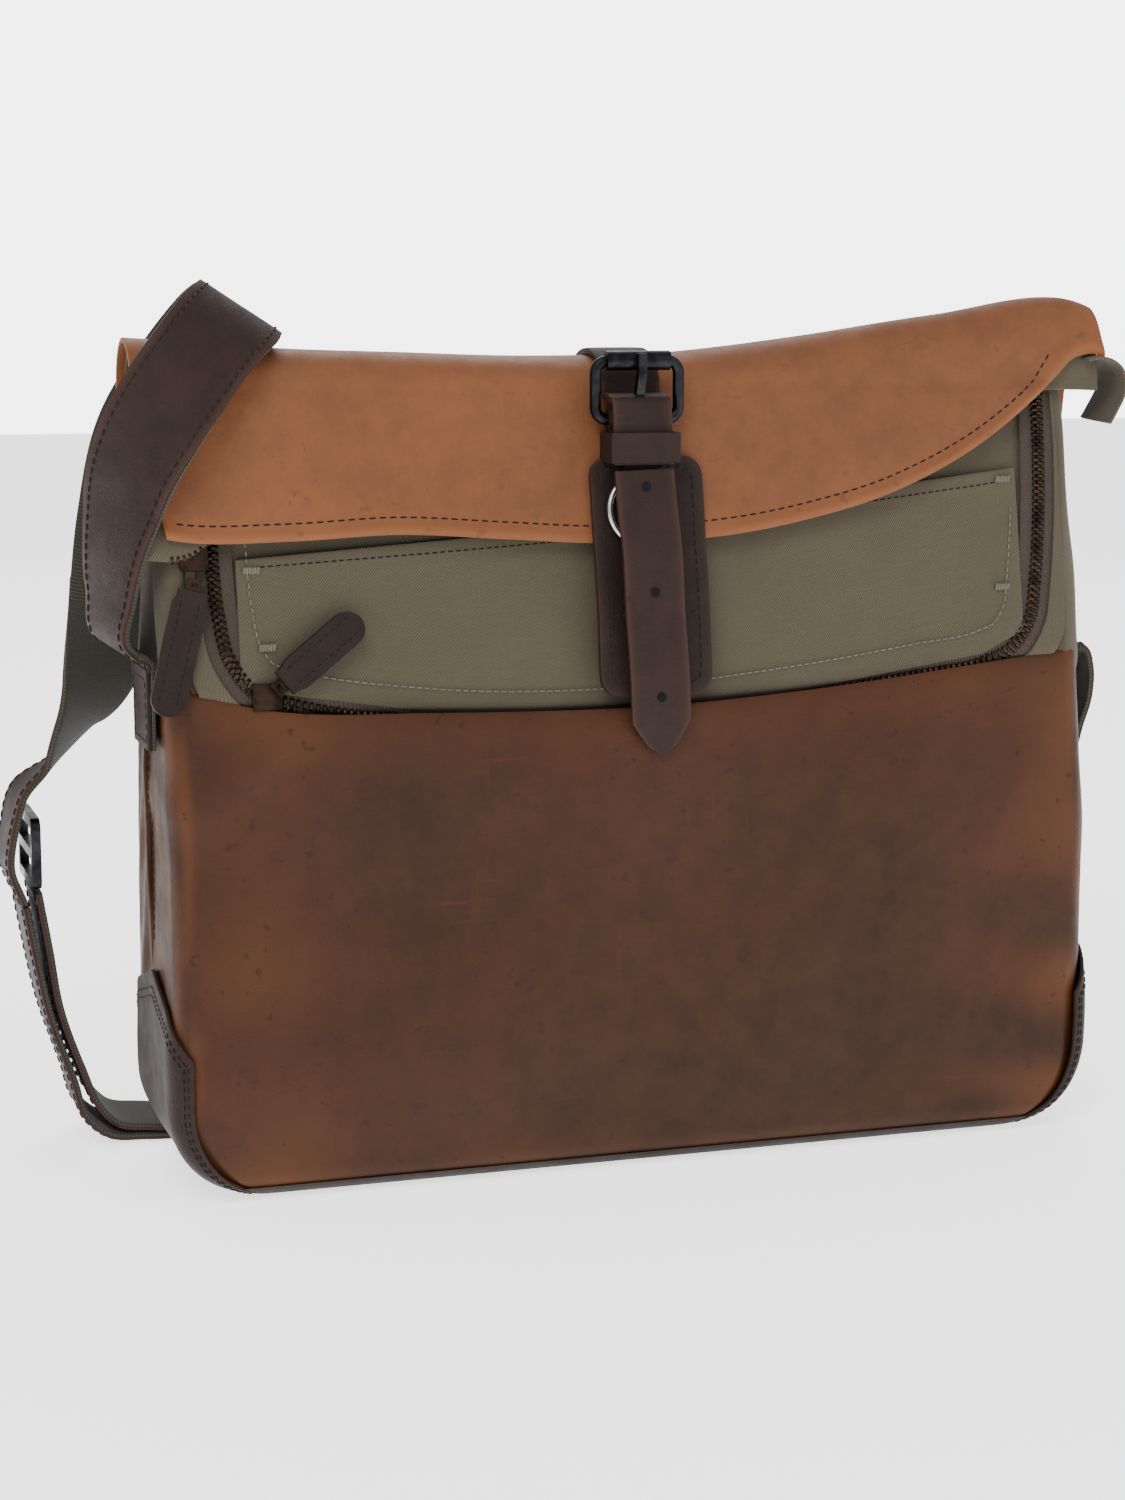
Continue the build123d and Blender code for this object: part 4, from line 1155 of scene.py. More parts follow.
@dataclass
class AccessPanel:
    """Canvas panel on the front, held by a zipper that runs round it in a U."""

    shop: Workshop

    def route(self, offset: float = 0.0, step: float = 1.0) -> Array:
        """The zipper's line on the front as (x, z), shifted outward by an offset.

        Args:
            offset: Distance to the outside of the U.
            step: Spacing of its points.

        Returns:
            The points from the top left down, across and up to the top right.
        """
        left = [(-181, 317), (-180, 290), (-178.5, 262), (-177, 236), (-173, 217), (-163, 204)]
        across = [(-150, 199.5), (-94, 190), (-15, 187), (65, 193), (120, 200), (150, 204.5)]
        right = [(163, 210), (172, 222), (175.5, 238), (178.5, 262), (180.5, 290), (182, 317)]
        knots = np.array(left + across + right, float)
        gaps = np.concatenate([[0], np.cumsum(np.linalg.norm(np.diff(knots, axis=0), axis=1))])
        at = np.arange(0, gaps[-1], step)
        line = np.stack([curve(at, list(zip(gaps, knots[:, k]))) for k in (0, 1)], axis=-1)
        tangent = unit(np.gradient(line, axis=0))
        outward = np.stack([tangent[:, 1], -tangent[:, 0]], axis=-1)
        return line + offset * outward

    def strip(self, inner: float, outer: float, count: int, out: float) -> Array:
        """Grid of a strip that follows the zipper's line between two offsets."""
        offsets = np.linspace(inner, outer, count)
        lines = np.stack([self.route(offset) for offset in offsets], axis=1)
        x, z = lines[..., 0], lines[..., 1]
        return FORM.at_front(x, z, out + self.soft(x, z) + self.tuck(x, z))

    @staticmethod
    def tuck(x: Array, z: Array) -> Array:
        """How far the front's layers step in behind the leather's top edge."""
        edge = curve(np.asarray(x) / FLAT_FRONT, POCKET_EDGE)
        return -4.4 * smooth_step(1.5, -2.5, z - edge)

    @staticmethod
    def soft(x: Array, z: Array) -> Array:
        """Shared unevenness of the front canvas, so that its layers keep their order."""
        sag = -1.5 * crease(x, z, (-150, 215), (-60, 250), 26) + 1.0 * crease(x, z, (40, 215), (150, 262), 22)
        return 0.6 * relief(x, z, 41, 95) * smooth_step(196, 225, z) + sag * 0.7

    def panel(self, x: Array, v: Array) -> Array:
        """Panel cloth: its lower edge on the zipper, its top edge the hem, both turned under.

        Args:
            x: Place across.
            v: 0 at the zipper to 1 at the hem.

        Returns:
            The points.
        """
        foot = [(-168, 207), (-150, 203), (-94, 194), (-15, 190), (65, 196), (150, 208), (168, 217)]
        low = np.interp(x, *np.array(foot).T)
        high = curve(x, PANEL_HEM)
        z = low + (high - low) * v
        hem = 0.5 * smooth_step(0.90, 0.97, v)
        border = 0.5 * smooth_step(158, 163, np.abs(x))
        return FORM.at_front(x, z, 0.9 + self.soft(x, z) + self.tuck(x, z) + np.maximum(hem, border))

    def build(self) -> None:
        """Make the panel, the zipper and the stitches."""
        shop = self.shop
        x, v = np.linspace(-169, 169, 190), np.linspace(0, 1, 64)
        xx, vv = mesh_axes(x, v)
        panel = shop.grid(
            "access_panel_cloth", self.panel(xx, vv), "canvas", Slot.CANVAS, "root", 1.0, edge=0.25,
        )
        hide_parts("access_panel")
        tape = shop.grid(
            "zip_tape_cloth", self.strip(-8, 7.5, 9, 0.1)[::-1], "zip_tape", Slot.ZIP_TAPE, "root", 0.5,
            edge=0.1,
        )
        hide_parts("front_zip_tape")
        facing = shop.grid(
            "zip_facing", self.strip(7.2, 17.0, 7, 0.9)[::-1], "canvas", Slot.CANVAS, "root", 0.8,
            edge=0.25,
        )
        self._teeth()
        self._threads()

    def _line(self, offset: float, out: float, span: tuple[float, float] = (0.0, 1.0)) -> tuple[Array, Array]:
        """Points and outward directions along the zipper's line."""
        line = self.route(offset)
        keep = slice(int(span[0] * len(line)), int(span[1] * len(line)))
        line = line[keep]
        points = FORM.at_front(line[:, 0], line[:, 1], out + self.soft(*line.T) + self.tuck(*line.T))
        return points, np.tile([0.0, -1.0, 0.12], (len(line), 1))

    def _teeth(self) -> None:
        """Teeth of both sides of the chain."""
        for name, offset, turn, phase in (
            ("zip_teeth_inner", -2.6, 1.0, 0.25), ("zip_teeth_outer", 2.6, -1.0, 0.75),
        ):
            path, facing = self._line(offset, 0.2)
            centres, along, out = walk(path, facing, 2.7, phase)
            obj = self.shop.repeat(
                name, tooth(1.5, 3.4, 1.9), centres, -along * turn, out, "zip_metal", Slot.ZIP_METAL, "root"
            )
            if offset < 0:
                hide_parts("front_zip_chain")

    def _threads(self) -> None:
        """Light stitches on the panel's edge, dark ones on the facing, and the bar tacks."""
        shop = self.shop
        for name, offset, out, material, size in (
            ("facing_stitches", 12.5, 1.1, "dark_thread", 0.3),
            ("panel_stitches", -13.5, 1.8, "light_thread", 0.33),
        ):
            path, facing = self._line(offset, out)
            keep = path[:, 2] < (270 if offset < 0 else 400)
            shop.stitches(name, path[keep], facing[keep], "root", 3.2, material, Slot.CANVAS, size)
        surface = Surface(self.panel)
        x = np.linspace(-160, 160, 300)
        v = np.full_like(x, 0.93)
        shop.stitches(
            "hem_stitches", surface.point(
                x, v, 0.1,
            ), surface.normal(x, v), "root", 3.2, "dark_thread", Slot.CANVAS, 0.3
        )
        tacks = []
        for x0, z0 in ((-163, 252), (-158, 222), (163, 281), (160, 236)):
            tacks.append(FORM.at_front(np.linspace(x0 - 3, x0 + 3, 9), np.full(9, z0), 2.2))
        centres = np.concatenate(tacks)
        along = np.tile([0.15, 0.0, 1.0], (len(centres), 1))
        shop.repeat(
            "bar_tacks", bead(1.6, 0.35), centres, along, np.tile([0.0, -1.0, 0.0], (len(centres), 1)),
            "light_thread", Slot.CANVAS, "root",
        )


# ---------------------------------------------------------------- flap and roll


@dataclass(frozen=True)
class FlapForm:
    """Profile of the flap over the mouth: q runs up the front, over the fold and down the back."""

    seat: float = 322.0
    turn: float = 20.0
    front_gap: float = 7.7
    back_gap: float = 2.5
    hem: float = 286.0

    def profile(self, x: Array, q: Array, inside: float = 0.0) -> Array:
        """Point of the flap's outer face.

        Args:
            x: Place across the bag.
            q: Path length from the seat on the front, negative below it.
            inside: Distance in from the outer face.

        Returns:
            The points.
        """
        rise = curve(x, FLAP_TOP) - self.seat - inside
        phi = np.clip(q / self.turn, 0, math.pi)
        past = np.maximum(q - math.pi * self.turn, 0)
        z = self.seat + np.minimum(q, 0) + rise * np.sin(phi) - past
        low = np.minimum(z, self.seat)
        front = FORM.front(low) - self.front_gap + inside
        back = FORM.back(low) + self.back_gap - inside
        y_front, y_back = FORM.front(
            self.seat
        ) - self.front_gap + inside, FORM.back(self.seat) + self.back_gap - inside
        middle, half = (y_front + y_back) / 2, (y_back - y_front) / 2
        y = np.where(q < 0, front, np.where(past > 0, back, middle - half * np.cos(phi)))
        return stack(x, y, z)

    def start(self, x: Array, edge: Array) -> Array:
        """q of a lower edge at a given height."""
        rise = curve(x, FLAP_TOP) - self.seat
        over = np.clip((edge - self.seat) / rise, 0, 0.98)
        return np.where(edge < self.seat, edge - self.seat, self.turn * np.arcsin(over))

    @property
    def end(self) -> float:
        """q of the hem on the back."""
        return math.pi * self.turn + self.seat - self.hem


FLAP = FlapForm()


@dataclass
class Flap:
    """Leather flap that lies over the rolled canvas mouth."""

    shop: Workshop

    @staticmethod
    def leather(x: Array, v: Array) -> Array:
        """Leather: the flap's profile plus a swell, a rolled edge and a curl at the right end.

        Args:
            x: Place across.
            v: 0 at the lower edge on the front to 1 at the hem on the back.

        Returns:
            The points.
        """
        start = FLAP.start(x, curve(x, FLAP_EDGE))
        q = start + (FLAP.end - start) * v
        point = FLAP.profile(x, q)
        down = np.clip(-q / 60, 0, 1)
        left = np.where(x < 0, (np.abs(x) / 207) ** 6, 0)
        right = np.clip((x - 196) / 11, 0, 1)
        front = smooth_step(6, -6, q)
        swell = (0.9 * (1 + relief(x, q, 51, 130)) + 1.2 * crease(x, q, (40, -50), (190, 6), 14)) * front
        roll = 1.6 * np.exp(-(((q - start - 2.5) / 2.6) ** 2))
        wave = 0.6 * relief(x, q, 53, 90) * smooth_step(0, 25, q)
        calm = 1 - 0.9 * np.exp(-((x / 33) ** 4)) * front
        swell, roll = swell * calm, roll * calm
        point = point + stack(
            11 * left * down + 5 * right * (1 - down),
            -(swell + roll) + 9 * right**2 * front,
            wave - 2.5 * right**2,
        )
        return point

    @staticmethod
    def cloth_fold(x: Array, v: Array) -> Array:
        """Canvas under the leather fold, from the front seat to the back."""
        q = -4 + (math.pi * FLAP.turn + 6) * v
        point = FLAP.profile(x, q, 3.0)
        return point + stack(0.0, 0.0, 0.4 * relief(x, q, 61, 60))

    @staticmethod
    def roll(x: Array, v: Array) -> Array:
        """Flattened canvas tube: two walls joined by a half circle at the low edge.

        Args:
            x: Place across.
            v: 0 at the front top round the low edge to 1 at the rear top.

        Returns:
            The points.
        """
        low = curve(x, ROLL_EDGE)
        top = np.maximum(324.0, low + 6)
        front_part, rear_part = np.clip(v / 0.46, 0, 1), np.clip((v - 0.54) / 0.46, 0, 1)
        turn = np.clip((v - 0.46) / 0.08, 0, 1) * math.pi
        radius = 1.75
        z = np.where(
            v <= 0.46, top + (low + radius - top) * front_part,
            low + radius + (top - low - radius) * rear_part,
        )
        z = z - radius * np.sin(turn)
        base = FORM.front(np.minimum(z, FORM.mouth))
        gap = 3.7 + radius * np.cos(turn)
        return stack(x, base - gap - 0.15 * relief(x, z, 63, 60), z)

    def build(self) -> None:
        """Make the flap's pieces."""
        shop = self.shop
        x = np.concatenate([np.linspace(-207, 190, 190), np.linspace(190, 207, 16)[1:]])
        v = np.linspace(0, 1, 120)
        xx, vv = mesh_axes(x, v)
        wear = np.clip(
            0.6 * smooth_step(0.08, 0.0, vv)
            + 0.5 * np.exp(-(((vv - 0.55) / 0.08) ** 2)) * (0.5 + 0.5 * relief(xx, vv * 100, 9, 60))
            + 0.5 * smooth_step(196, 207, np.abs(xx)),
            0,
            1,
        )
        leather = shop.grid(
            "flap_leather", self.leather(xx, vv), "tan_leather", Slot.TAN_LEATHER, None, 1.9, wear,
            edge=0.6,
        )
        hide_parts("flap_leather_front", "fold_leather", "flap_back_hem")
        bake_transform(leather)
        x = np.linspace(-204, 210, 160)
        xx, vv = mesh_axes(x, np.linspace(0, 1, 40))
        cloth = shop.grid("fold_cloth", self.cloth_fold(xx, vv), "canvas", Slot.CANVAS, None, 1.2)
        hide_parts("fold_canvas")
        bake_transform(cloth)
        x = np.linspace(-205, 203, 180)
        xx, vv = mesh_axes(x, np.linspace(0, 1, 90))
        roll = shop.grid("roll_cloth", self.roll(xx, vv)[::-1], "canvas", Slot.CANVAS, "flap", 0.7, edge=0.2)
        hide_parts("roll_canvas")
        self._threads()
        self._ends()

    def _threads(self) -> None:
        """Stitch rows of the flap."""
        shop = self.shop
        surface = Surface(self.leather)
        x = np.linspace(-201, 186, 500)
        start = FLAP.start(x, curve(x, FLAP_EDGE))
        v = 6.8 / (FLAP.end - start)
        shop.stitches("flap_edge_stitches", surface.point(x, v, -0.1), surface.normal(x, v), "flap", 4.2)
        x = np.linspace(-198, 198, 400)
        start = FLAP.start(x, curve(x, FLAP_EDGE))
        v = 1 - 4.5 / (FLAP.end - start)
        shop.stitches("flap_hem_stitches", surface.point(x, v), surface.normal(x, v), "root", 4.2)

    def _ends(self) -> None:
        """The roll's open ends: the hooked canvas at the right and the teeth of its chain."""
        shop = self.shop
        hook = np.array(
            [(203, 330), (209, 331), (215, 329.5), (219.5, 325), (220, 317), (216, 309), (213, 304)], float,
        )
        t = np.linspace(0, len(hook) - 1, 40)
        px = curve(t, list(zip(range(len(hook)), hook[:, 0])))
        pz = curve(t, list(zip(range(len(hook)), hook[:, 1])))
        y = np.linspace(-24, 2, 16)
        grid_y, grid_x = np.meshgrid(y, px)
        grid_z = np.meshgrid(y, pz)[1]
        droop = 0.12 * (grid_y + 24)
        points = stack(grid_x + 0.5 * relief(grid_y, grid_z, 71, 30), grid_y, grid_z + droop * 0.5)
        hooked = shop.grid("roll_end_right", points, "canvas", Slot.CANVAS, "flap", 1.4, edge=0.3)
        x = np.linspace(-196, 188, 300)
        low = curve(x, ROLL_EDGE) - 0.6
        path = stack(x, FORM.front(low) - 3.6, low)
        centres, along, out = walk(path, np.tile([0.0, -1.0, 0.0], (300, 1)), 2.7)
        keep = (centres[:, 0] < -176) | (centres[:, 0] > 60)
        obj = shop.repeat(
            "roll_teeth", tooth(
                1.5, 3.0, 1.6,
            ), centres[keep], along[keep], out[keep], "zip_metal", Slot.ZIP_METAL, "flap"
        )
        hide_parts("top_zip_chain")


# ---------------------------------------------------------------- ribbons


def spline(points: Sequence[Sequence[float]], count: int) -> Array:
    """Smooth line through points by cubic Hermite curves over their chord lengths.

    Args:
        points: The points.
        count: How many samples to give.

    Returns:
        The samples.
    """
    knots = np.array(points, float)
    gaps = np.concatenate([[0], np.cumsum(np.linalg.norm(np.diff(knots, axis=0), axis=1))])
    at = np.linspace(0, gaps[-1], count)
    return np.stack([curve(at, list(zip(gaps, knots[:, k]))) for k in range(knots.shape[1])], axis=-1)


@dataclass
class Ribbon:
    """A flat strap along a line: grids of its faces at any depth."""

    line: Array
    across: Array

    @classmethod
    def through(cls, stations: Sequence[tuple], count: int) -> "Ribbon":
        """Ribbon through stations of a centre and the direction across.

        Args:
            stations: Pairs of a centre and a direction.
            count: How many samples along it.

        Returns:
            The ribbon.
        """
        joined = spline([tuple(centre) + tuple(20 * c for c in across) for centre, across in stations], count)
        line, across = joined[:, :3], unit(joined[:, 3:])
        tangent = unit(np.gradient(line, axis=0))
        across = unit(across - (across * tangent).sum(-1, keepdims=True) * tangent)
        return cls(line, across)

    @property
    def facing(self) -> Array:
        """Directions out of the ribbon's face, across x along."""
        tangent = unit(np.gradient(self.line, axis=0))
        return unit(np.cross(self.across, tangent))

    def face(self, width: Array, lift: float, columns: int = 15) -> Array:
        """Grid of a face at a height over the middle, with slightly lower borders.

        Args:
            width: Width in millimetres, one for each sample or one for all.
            lift: Height over the middle.
            columns: Points across.

        Returns:
            Rows along by columns across.
        """
        share = np.linspace(-1, 1, columns)
        width = np.broadcast_to(np.asarray(width, float), len(self.line))
        crown = lift - 0.25 * np.sign(lift) * np.abs(share) ** 6
        return (
            self.line[:, None]
            + self.across[:, None] * (share[None, :, None] * width[:, None, None] / 2)
            + self.facing[:, None] * crown[None, :, None]
        )

    def edge(self, offset: float, lift: float) -> tuple[Array, Array]:
        """Line along the ribbon at an offset across and a height, with its outward directions."""
        return self.line + self.across * offset + self.facing * lift, self.facing * np.sign(lift)


@dataclass
class ShoulderStrap:
    """Two-layer shoulder strap: leather outside, canvas inside."""

    shop: Workshop
    width: float = 38.0

    def layers(
        self, name: str, ribbon: Ribbon, leather_side: float, body: Optional[str], node: Optional[str],
    ) -> list:
        """Both layers and the stitches of one run of the strap.

        Args:
            name: Base of the pieces' names.
            ribbon: The run.
            leather_side: +1 where the leather is on the ribbon's facing side, else -1.
            body: The body it rides on, or None.
            node: The CAD node it stands for.

        Returns:
            The objects.
        """
        shop = self.shop
        length = float(np.linalg.norm(np.diff(ribbon.line, axis=0), axis=1).sum()) * MM
        pieces = []
        for layer, material, slot, lift, wide, thick, side in (
            ("leather", "strap_leather", Slot.STRAP_LEATHER, 1.75, self.width, 1.9, leather_side),
            ("lining", "strap_lining", Slot.LINING_CLOTH, 1.65, self.width + 0.7, 1.5, -leather_side),
        ):
            points = ribbon.face(wide, lift * side)
            columns = points if side > 0 else points[:, ::-1]
            rub = np.abs(np.linspace(-1, 1, points.shape[1]))[None] ** 8
            obj = shop.grid(
                f"{name}_{layer}", columns, material, slot, body, thick,
                np.broadcast_to(0.6 * rub, points.shape[:2]), edge=0.4,
            )
            pieces.append(obj)
        if node:
            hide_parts(node)
        for row, offset in enumerate((-self.width / 2 + 3.2, self.width / 2 - 3.2)):
            path, facing = ribbon.edge(offset, 1.85 * leather_side)
            pieces.append(shop.stitches(f"{name}_stitches_{row + 1}", path, facing, body, 4.4))
        return pieces

    def build(self) -> None:
        """Make every run of the strap."""
        left, y0, high = -200.0, -6.0, 212.0
        over = [
            ((left - 2.0, y0, high + 0.5), (0, -1, 0)),
            ((left - 2.3, y0, high + 3.5), (0, -1, 0)),
            ((left - 8, y0, high + 6.5), (0, -1, 0)),
            ((left - 15, y0 - 2, high + 12.0), (0.15, -1, 0)),
            ((left - 16, y0 - 6, high + 30.0), (0.30, -0.95, 0)),
            ((left - 14, y0 - 16, high + 58.0), (0.50, -0.86, 0)),
            ((left - 9, y0 - 28, high + 82.0), (0.74, -0.64, -0.15)),
            ((left + 2, y0 - 35, high + 104.0), (0.84, -0.28, -0.42)),
            ((left + 14, y0 - 33, high + 120.0), (0.82, -0.05, -0.56)),
            ((left + 27, y0 - 23, high + 134.0), (0.83, 0, -0.55)),
            ((left + 38.5, y0 - 3, high + 141.0), (0.84, 0, -0.54)),
            ((left + 35, y0 + 20, high + 136.0), (0.84, 0, -0.54)),
            ((left + 23, y0 + 37, high + 118.0), (0.85, 0, -0.52)),
            ((left + 8, y0 + 48, high + 92.0), (0.90, 0, -0.43)),
            ((left, y0 + 56, high + 55.0), (0.98, 0, -0.20)),
            ((left - 4, y0 + 60, high + 20.0), (1, 0.05, 0)),
        ]
        for obj in self.layers("strap_over", Ribbon.through(over, 240), 1.0, None, "shoulder_strap_over"):
            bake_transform(obj)
        down = [
            ((left - 3.2, y0 + 59.4, high + 30.0), (1, 0.02, -0.06)),
            ((left - 4.2, y0 + 60.2, high + 18.0), (1, 0.05, 0)),
            ((left - 7, y0 + 61, high + 2.0), (0.97, 0.25, 0)),
            ((left - 12, y0 + 62, high - 14.0), (0.85, 0.53, 0)),
            ((left - 20, y0 + 63, high - 30.0), (0.60, 0.80, 0)),
            ((left - 29, 63, high - 46.0), (0.28, 0.96, 0)),
            ((-244, 66, high - 60.0), (0, 1, 0)),
            ((-249, 68, 134.0), (0, 1, 0)),
            ((-250, 69, 122.0), (0, 1, 0)),
            ((-245, 70, 107.0), (0, 1, 0)),
        ]
        self.layers("strap_back", Ribbon.through(down, 110), 1.0, "root", "shoulder_strap_back")
        outer = [(-244.2, 105), (-240, 80), (-236, 60), (-226, 28), (-221, 12), (-212, 4), (-196, 2.0)]
        inner = [(-239, 111), (-235, 86), (-231.5, 62), (-222, 32), (-216, 17), (-208, 8.5), (-194, 5.9)]
        for layer, route, level in (("outer", outer, 2.0), ("inner", inner, 5.8)):
            along_floor = [(px, level) for px in (-150, -60, 40, 100)]
            stations = [((px, 70.0, pz), (0, 1, 0)) for px, pz in route + along_floor]
            self.layers(
                f"strap_{layer}", Ribbon.through(stations, 160), 1.0, "root", f"shoulder_strap_{layer}",
            )
        right, end_y = 200.0, 5.0
        rise = [
            ((148.0, 70, 2.0), (0, 1, 0)),
            ((right - 22, 70, 2.0), (0, 1, 0)),
            ((right - 10, 70, 5.0), (0, 1, 0)),
            ((right - 1, 70, 14.0), (0, 1, 0)),
            ((right + 4, 68, 34), (0, 1, 0.1)),
            ((right + 6, 62, 60), (0, 1, 0.3)),
            ((right + 6, 46, 92), (0, 1, 0.45)),
            ((right + 6, 28, 124), (0, 1, 0.4)),
            ((right + 7, end_y + 7, 150), (0, 1, 0.2)),
            ((right + 10, end_y + 2, 170), (0, 1, 0)),
            ((right + 13.5, end_y, 186), (0, 1, 0)),
            ((right + 13.5, end_y, 197), (0, 1, 0)),
            ((right + 10.5, end_y, 205), (0, 1, 0)),
            ((right + 6.5, end_y, 206.5), (0, 1, 0)),
            ((right + 3.4, end_y, 203), (0, 1, 0)),
            ((right + 2.4, end_y, 196), (0, 1, 0)),
            ((right + 2.4, end_y, 177), (0, 1, 0)),
        ]
        self.layers("strap_right", Ribbon.through(rise, 260), 1.0, "root", "shoulder_strap_right")
        self._tab()

    @staticmethod
    def tab(y: Array, z: Array) -> Array:
        """Outer face of the tab on the left side."""
        return stack(-203.8 - 0.4 * smooth_step(200, 212, z) + 0.0 * y, y, z)

    def _tab(self) -> None:
        """Make the sewn tab that holds the strap's left end."""
        z = np.linspace(181, 213.5, 30)
        half = 17 + 1.5 * smooth_step(203, 213, z)
        share = np.linspace(-1, 1, 18)
        y = -6 + half[:, None] * share[None]
        points = self.tab(y, np.broadcast_to(z[:, None], y.shape))[:, ::-1]
        tab = self.shop.grid("side_tab", points, "strap_leather", Slot.STRAP_LEATHER, "root", 1.9)
        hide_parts("side_tab_left")
        inner = points + np.array([1.9, 0.0, 0.0])
        lining = self.shop.grid(
            "side_tab_lining", inner * np.array([1, 1.03, 1]), "strap_lining", Slot.LINING_CLOTH, "root",
            1.4,
        )
        for row, (y_a, z_a, y_b, z_b) in enumerate(
            ((-20, 184, -20, 209), (8, 184, 8, 209), (-20, 209, 8, 209), (-20, 184, 8, 184))
        ):
            path = self.tab(np.linspace(y_a, y_b, 40), np.linspace(z_a, z_b, 40))
            facing = np.tile([-1.0, 0.0, 0.0], (40, 1))
            self.shop.stitches(f"tab_stitches_{row + 1}", path, facing, "root", 3.6)


# ---------------------------------------------------------------- closure


@dataclass
class Closure:
    """Patch, buckle strap, closure strap and their stitches."""

    shop: Workshop
    centre: float = -4.0
    width: float = 25.0

    @staticmethod
    def patch(u: Array, v: Array) -> Array:
        """Patch with round corners, lifting a little at its left side.

        Args:
            u: -1 at the left to 1 at the right.
            v: 0 at the bottom to 1 at the top.

        Returns:
            The points.
        """
        low, high, half, r = 198.5, 294.0, 24.0, 8.0
        z = low + (high - low) * v
        near = np.clip(r - np.minimum(z - low, high - z), 0, r)
        wide = half - r + np.sqrt(r**2 - near**2)
        x = u * wide
        lift = 1.2 * smooth_step(-8, -24, x) * smooth_step(290, 230, z)
        return FORM.at_front(x, z, 10.9 + lift + 0.35 * relief(x, z, 81, 40))

    def build(self) -> None:
        """Make the closure's pieces."""
        shop = self.shop
        u = np.linspace(-1, 1, 40)
        v = 0.5 - 0.5 * np.cos(np.linspace(0, math.pi, 80))
        uu, vv = mesh_axes(u, v)
        wear = np.clip(np.abs(uu) ** 10 * 0.7 + (np.abs(2 * vv - 1) ** 24) * 0.6, 0, 1)
        patch = shop.grid(
            "patch_leather", self.patch(uu, vv), "dark_leather", Slot.DARK_LEATHER, "flap", 2.4, wear,
            edge=0.5,
        )
        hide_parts("patch")
        self._patch_threads()
        self._straps()

    def _patch_threads(self) -> None:
        """Border stitches and the line across the patch."""
        surface = Surface(self.patch)
        low, high, half, inset, r = 198.5, 294.0, 24.0, 4.5, 5.0
        left, right, bottom, top = -half + inset, half - inset, low + inset, high - inset
        angle = np.linspace(0, math.pi / 2, 10)
        quarter = math.pi / 2
        corners = (
            (right - r, bottom + r, -quarter), (right - r, top - r, 0),
            (left + r, top - r, quarter), (left + r, bottom + r, 2 * quarter),
        )
        pieces = [
            np.stack([cx + r * np.cos(angle + a), cz + r * np.sin(angle + a)], axis=-1)
            for cx, cz, a in corners
        ]
        loop = np.concatenate(pieces + [pieces[0][:1]])
        gaps = np.concatenate([[0], np.cumsum(np.linalg.norm(np.diff(loop, axis=0), axis=1))])
        at = np.linspace(0, gaps[-1], 400)
        x, z = np.interp(at, gaps, loop[:, 0]), np.interp(at, gaps, loop[:, 1])
        for name, px, pz in (
            ("patch_stitches", x, z),
            ("patch_line_stitches", np.linspace(-19, 19, 60), np.full(60, 231.0)),
        ):
            v = (pz - low) / (high - low)
            near = np.clip(8.0 - np.minimum(pz - low, high - pz), 0, 8.0)
            u = px / (half - 8.0 + np.sqrt(64.0 - near**2))
            self.shop.stitches(name, surface.point(u, v), surface.normal(u, v), "flap", 3.8)

    def _band(self, route: Sequence[tuple[float, float]], count: int, shift: float = 0.0) -> Ribbon:
        """Ribbon across X through (y, z) points, sliding sideways by shift at its end."""
        total = len(route) - 1
        stations = [
            ((self.centre + shift * (k / total) ** 1.5, y, z), (-1, 0, 0))
            for k, (y, z) in enumerate(route)
        ]
        return Ribbon.through(stations, count)

    def _straps(self) -> None:
        """Closure strap: anchor and fold, the front run, and the tail with its holes."""
        shop = self.shop
        q = np.linspace(math.pi * FLAP.turn + FLAP.seat - 236.0, -1.0, 150)
        x = np.full_like(q, self.centre)
        middle = FLAP.profile(x, q, -1.9)
        over = Ribbon(middle, np.tile([-1.0, 0.0, 0.0], (150, 1)))
        facing = over.facing
        side = 1.0 if facing[75, 2] > 0 else -1.0
        face = over.face(self.width, 1.5 * side, 11)
        points = face if side > 0 else face[:, ::-1]
        fold = shop.grid(
            "closure_strap_over", points, "strap_leather", Slot.STRAP_LEATHER, None, 2.9, edge=0.5,
        )
        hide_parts("closure_strap_anchor", "closure_strap_fold")
        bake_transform(fold)
        bar_y = float(FORM.front(309.0)) - 15.1
        out_y, in_y = bar_y - 6.3, float(FORM.front(322.0)) - 9.4
        over_bar = [(in_y, 324), (in_y - 1.2, 319.5), (out_y + 5, 317.6), (out_y + 1, 316.6)]
        front = self._band(over_bar + [(out_y - 0.6, 311), (out_y - 1.4, 302), (-41.2, 291)], 90)
        tail = self._band(
            [(-41.6, 288.9), (-44.6, 274), (-47.8, 259.3), (float(FORM.front(232.0)) - 17.0, 232),
             (float(FORM.front(205.0)) - 15.2, 205), (float(FORM.front(205.0)) - 14.2, 175)], 150, 5.0,
        )
        arc = np.linspace(0, 1, 150)
        tip = np.clip((1 - arc) / 0.115, 0, 1)
        wide = self.width * (0.16 + 0.84 * tip**0.7) * np.sqrt(np.clip((1 - arc) / 0.014, 0.3, 1))
        for name, ribbon, width, node, body in (
            ("closure_front", front, self.width, "closure_strap_front", "flap"),
            ("closure_tail", tail, wide, "closure_strap_tail", "tail"),
        ):
            side = 1.0 if ribbon.facing[-5, 1] < 0 else -1.0
            face = ribbon.face(width, 1.5 * side, 13)
            points = face if side > 0 else face[:, ::-1]
            rub = np.abs(np.linspace(-1, 1, 13))[None] ** 8 * np.ones((face.shape[0], 1))
            obj = shop.grid(
                name, points, "strap_leather", Slot.STRAP_LEATHER, body, 2.9, 0.7 * rub, edge=0.55,
            )
            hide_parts(node)
            length = float(np.linalg.norm(np.diff(ribbon.line, axis=0), axis=1).sum()) * MM
        self._holes(tail)

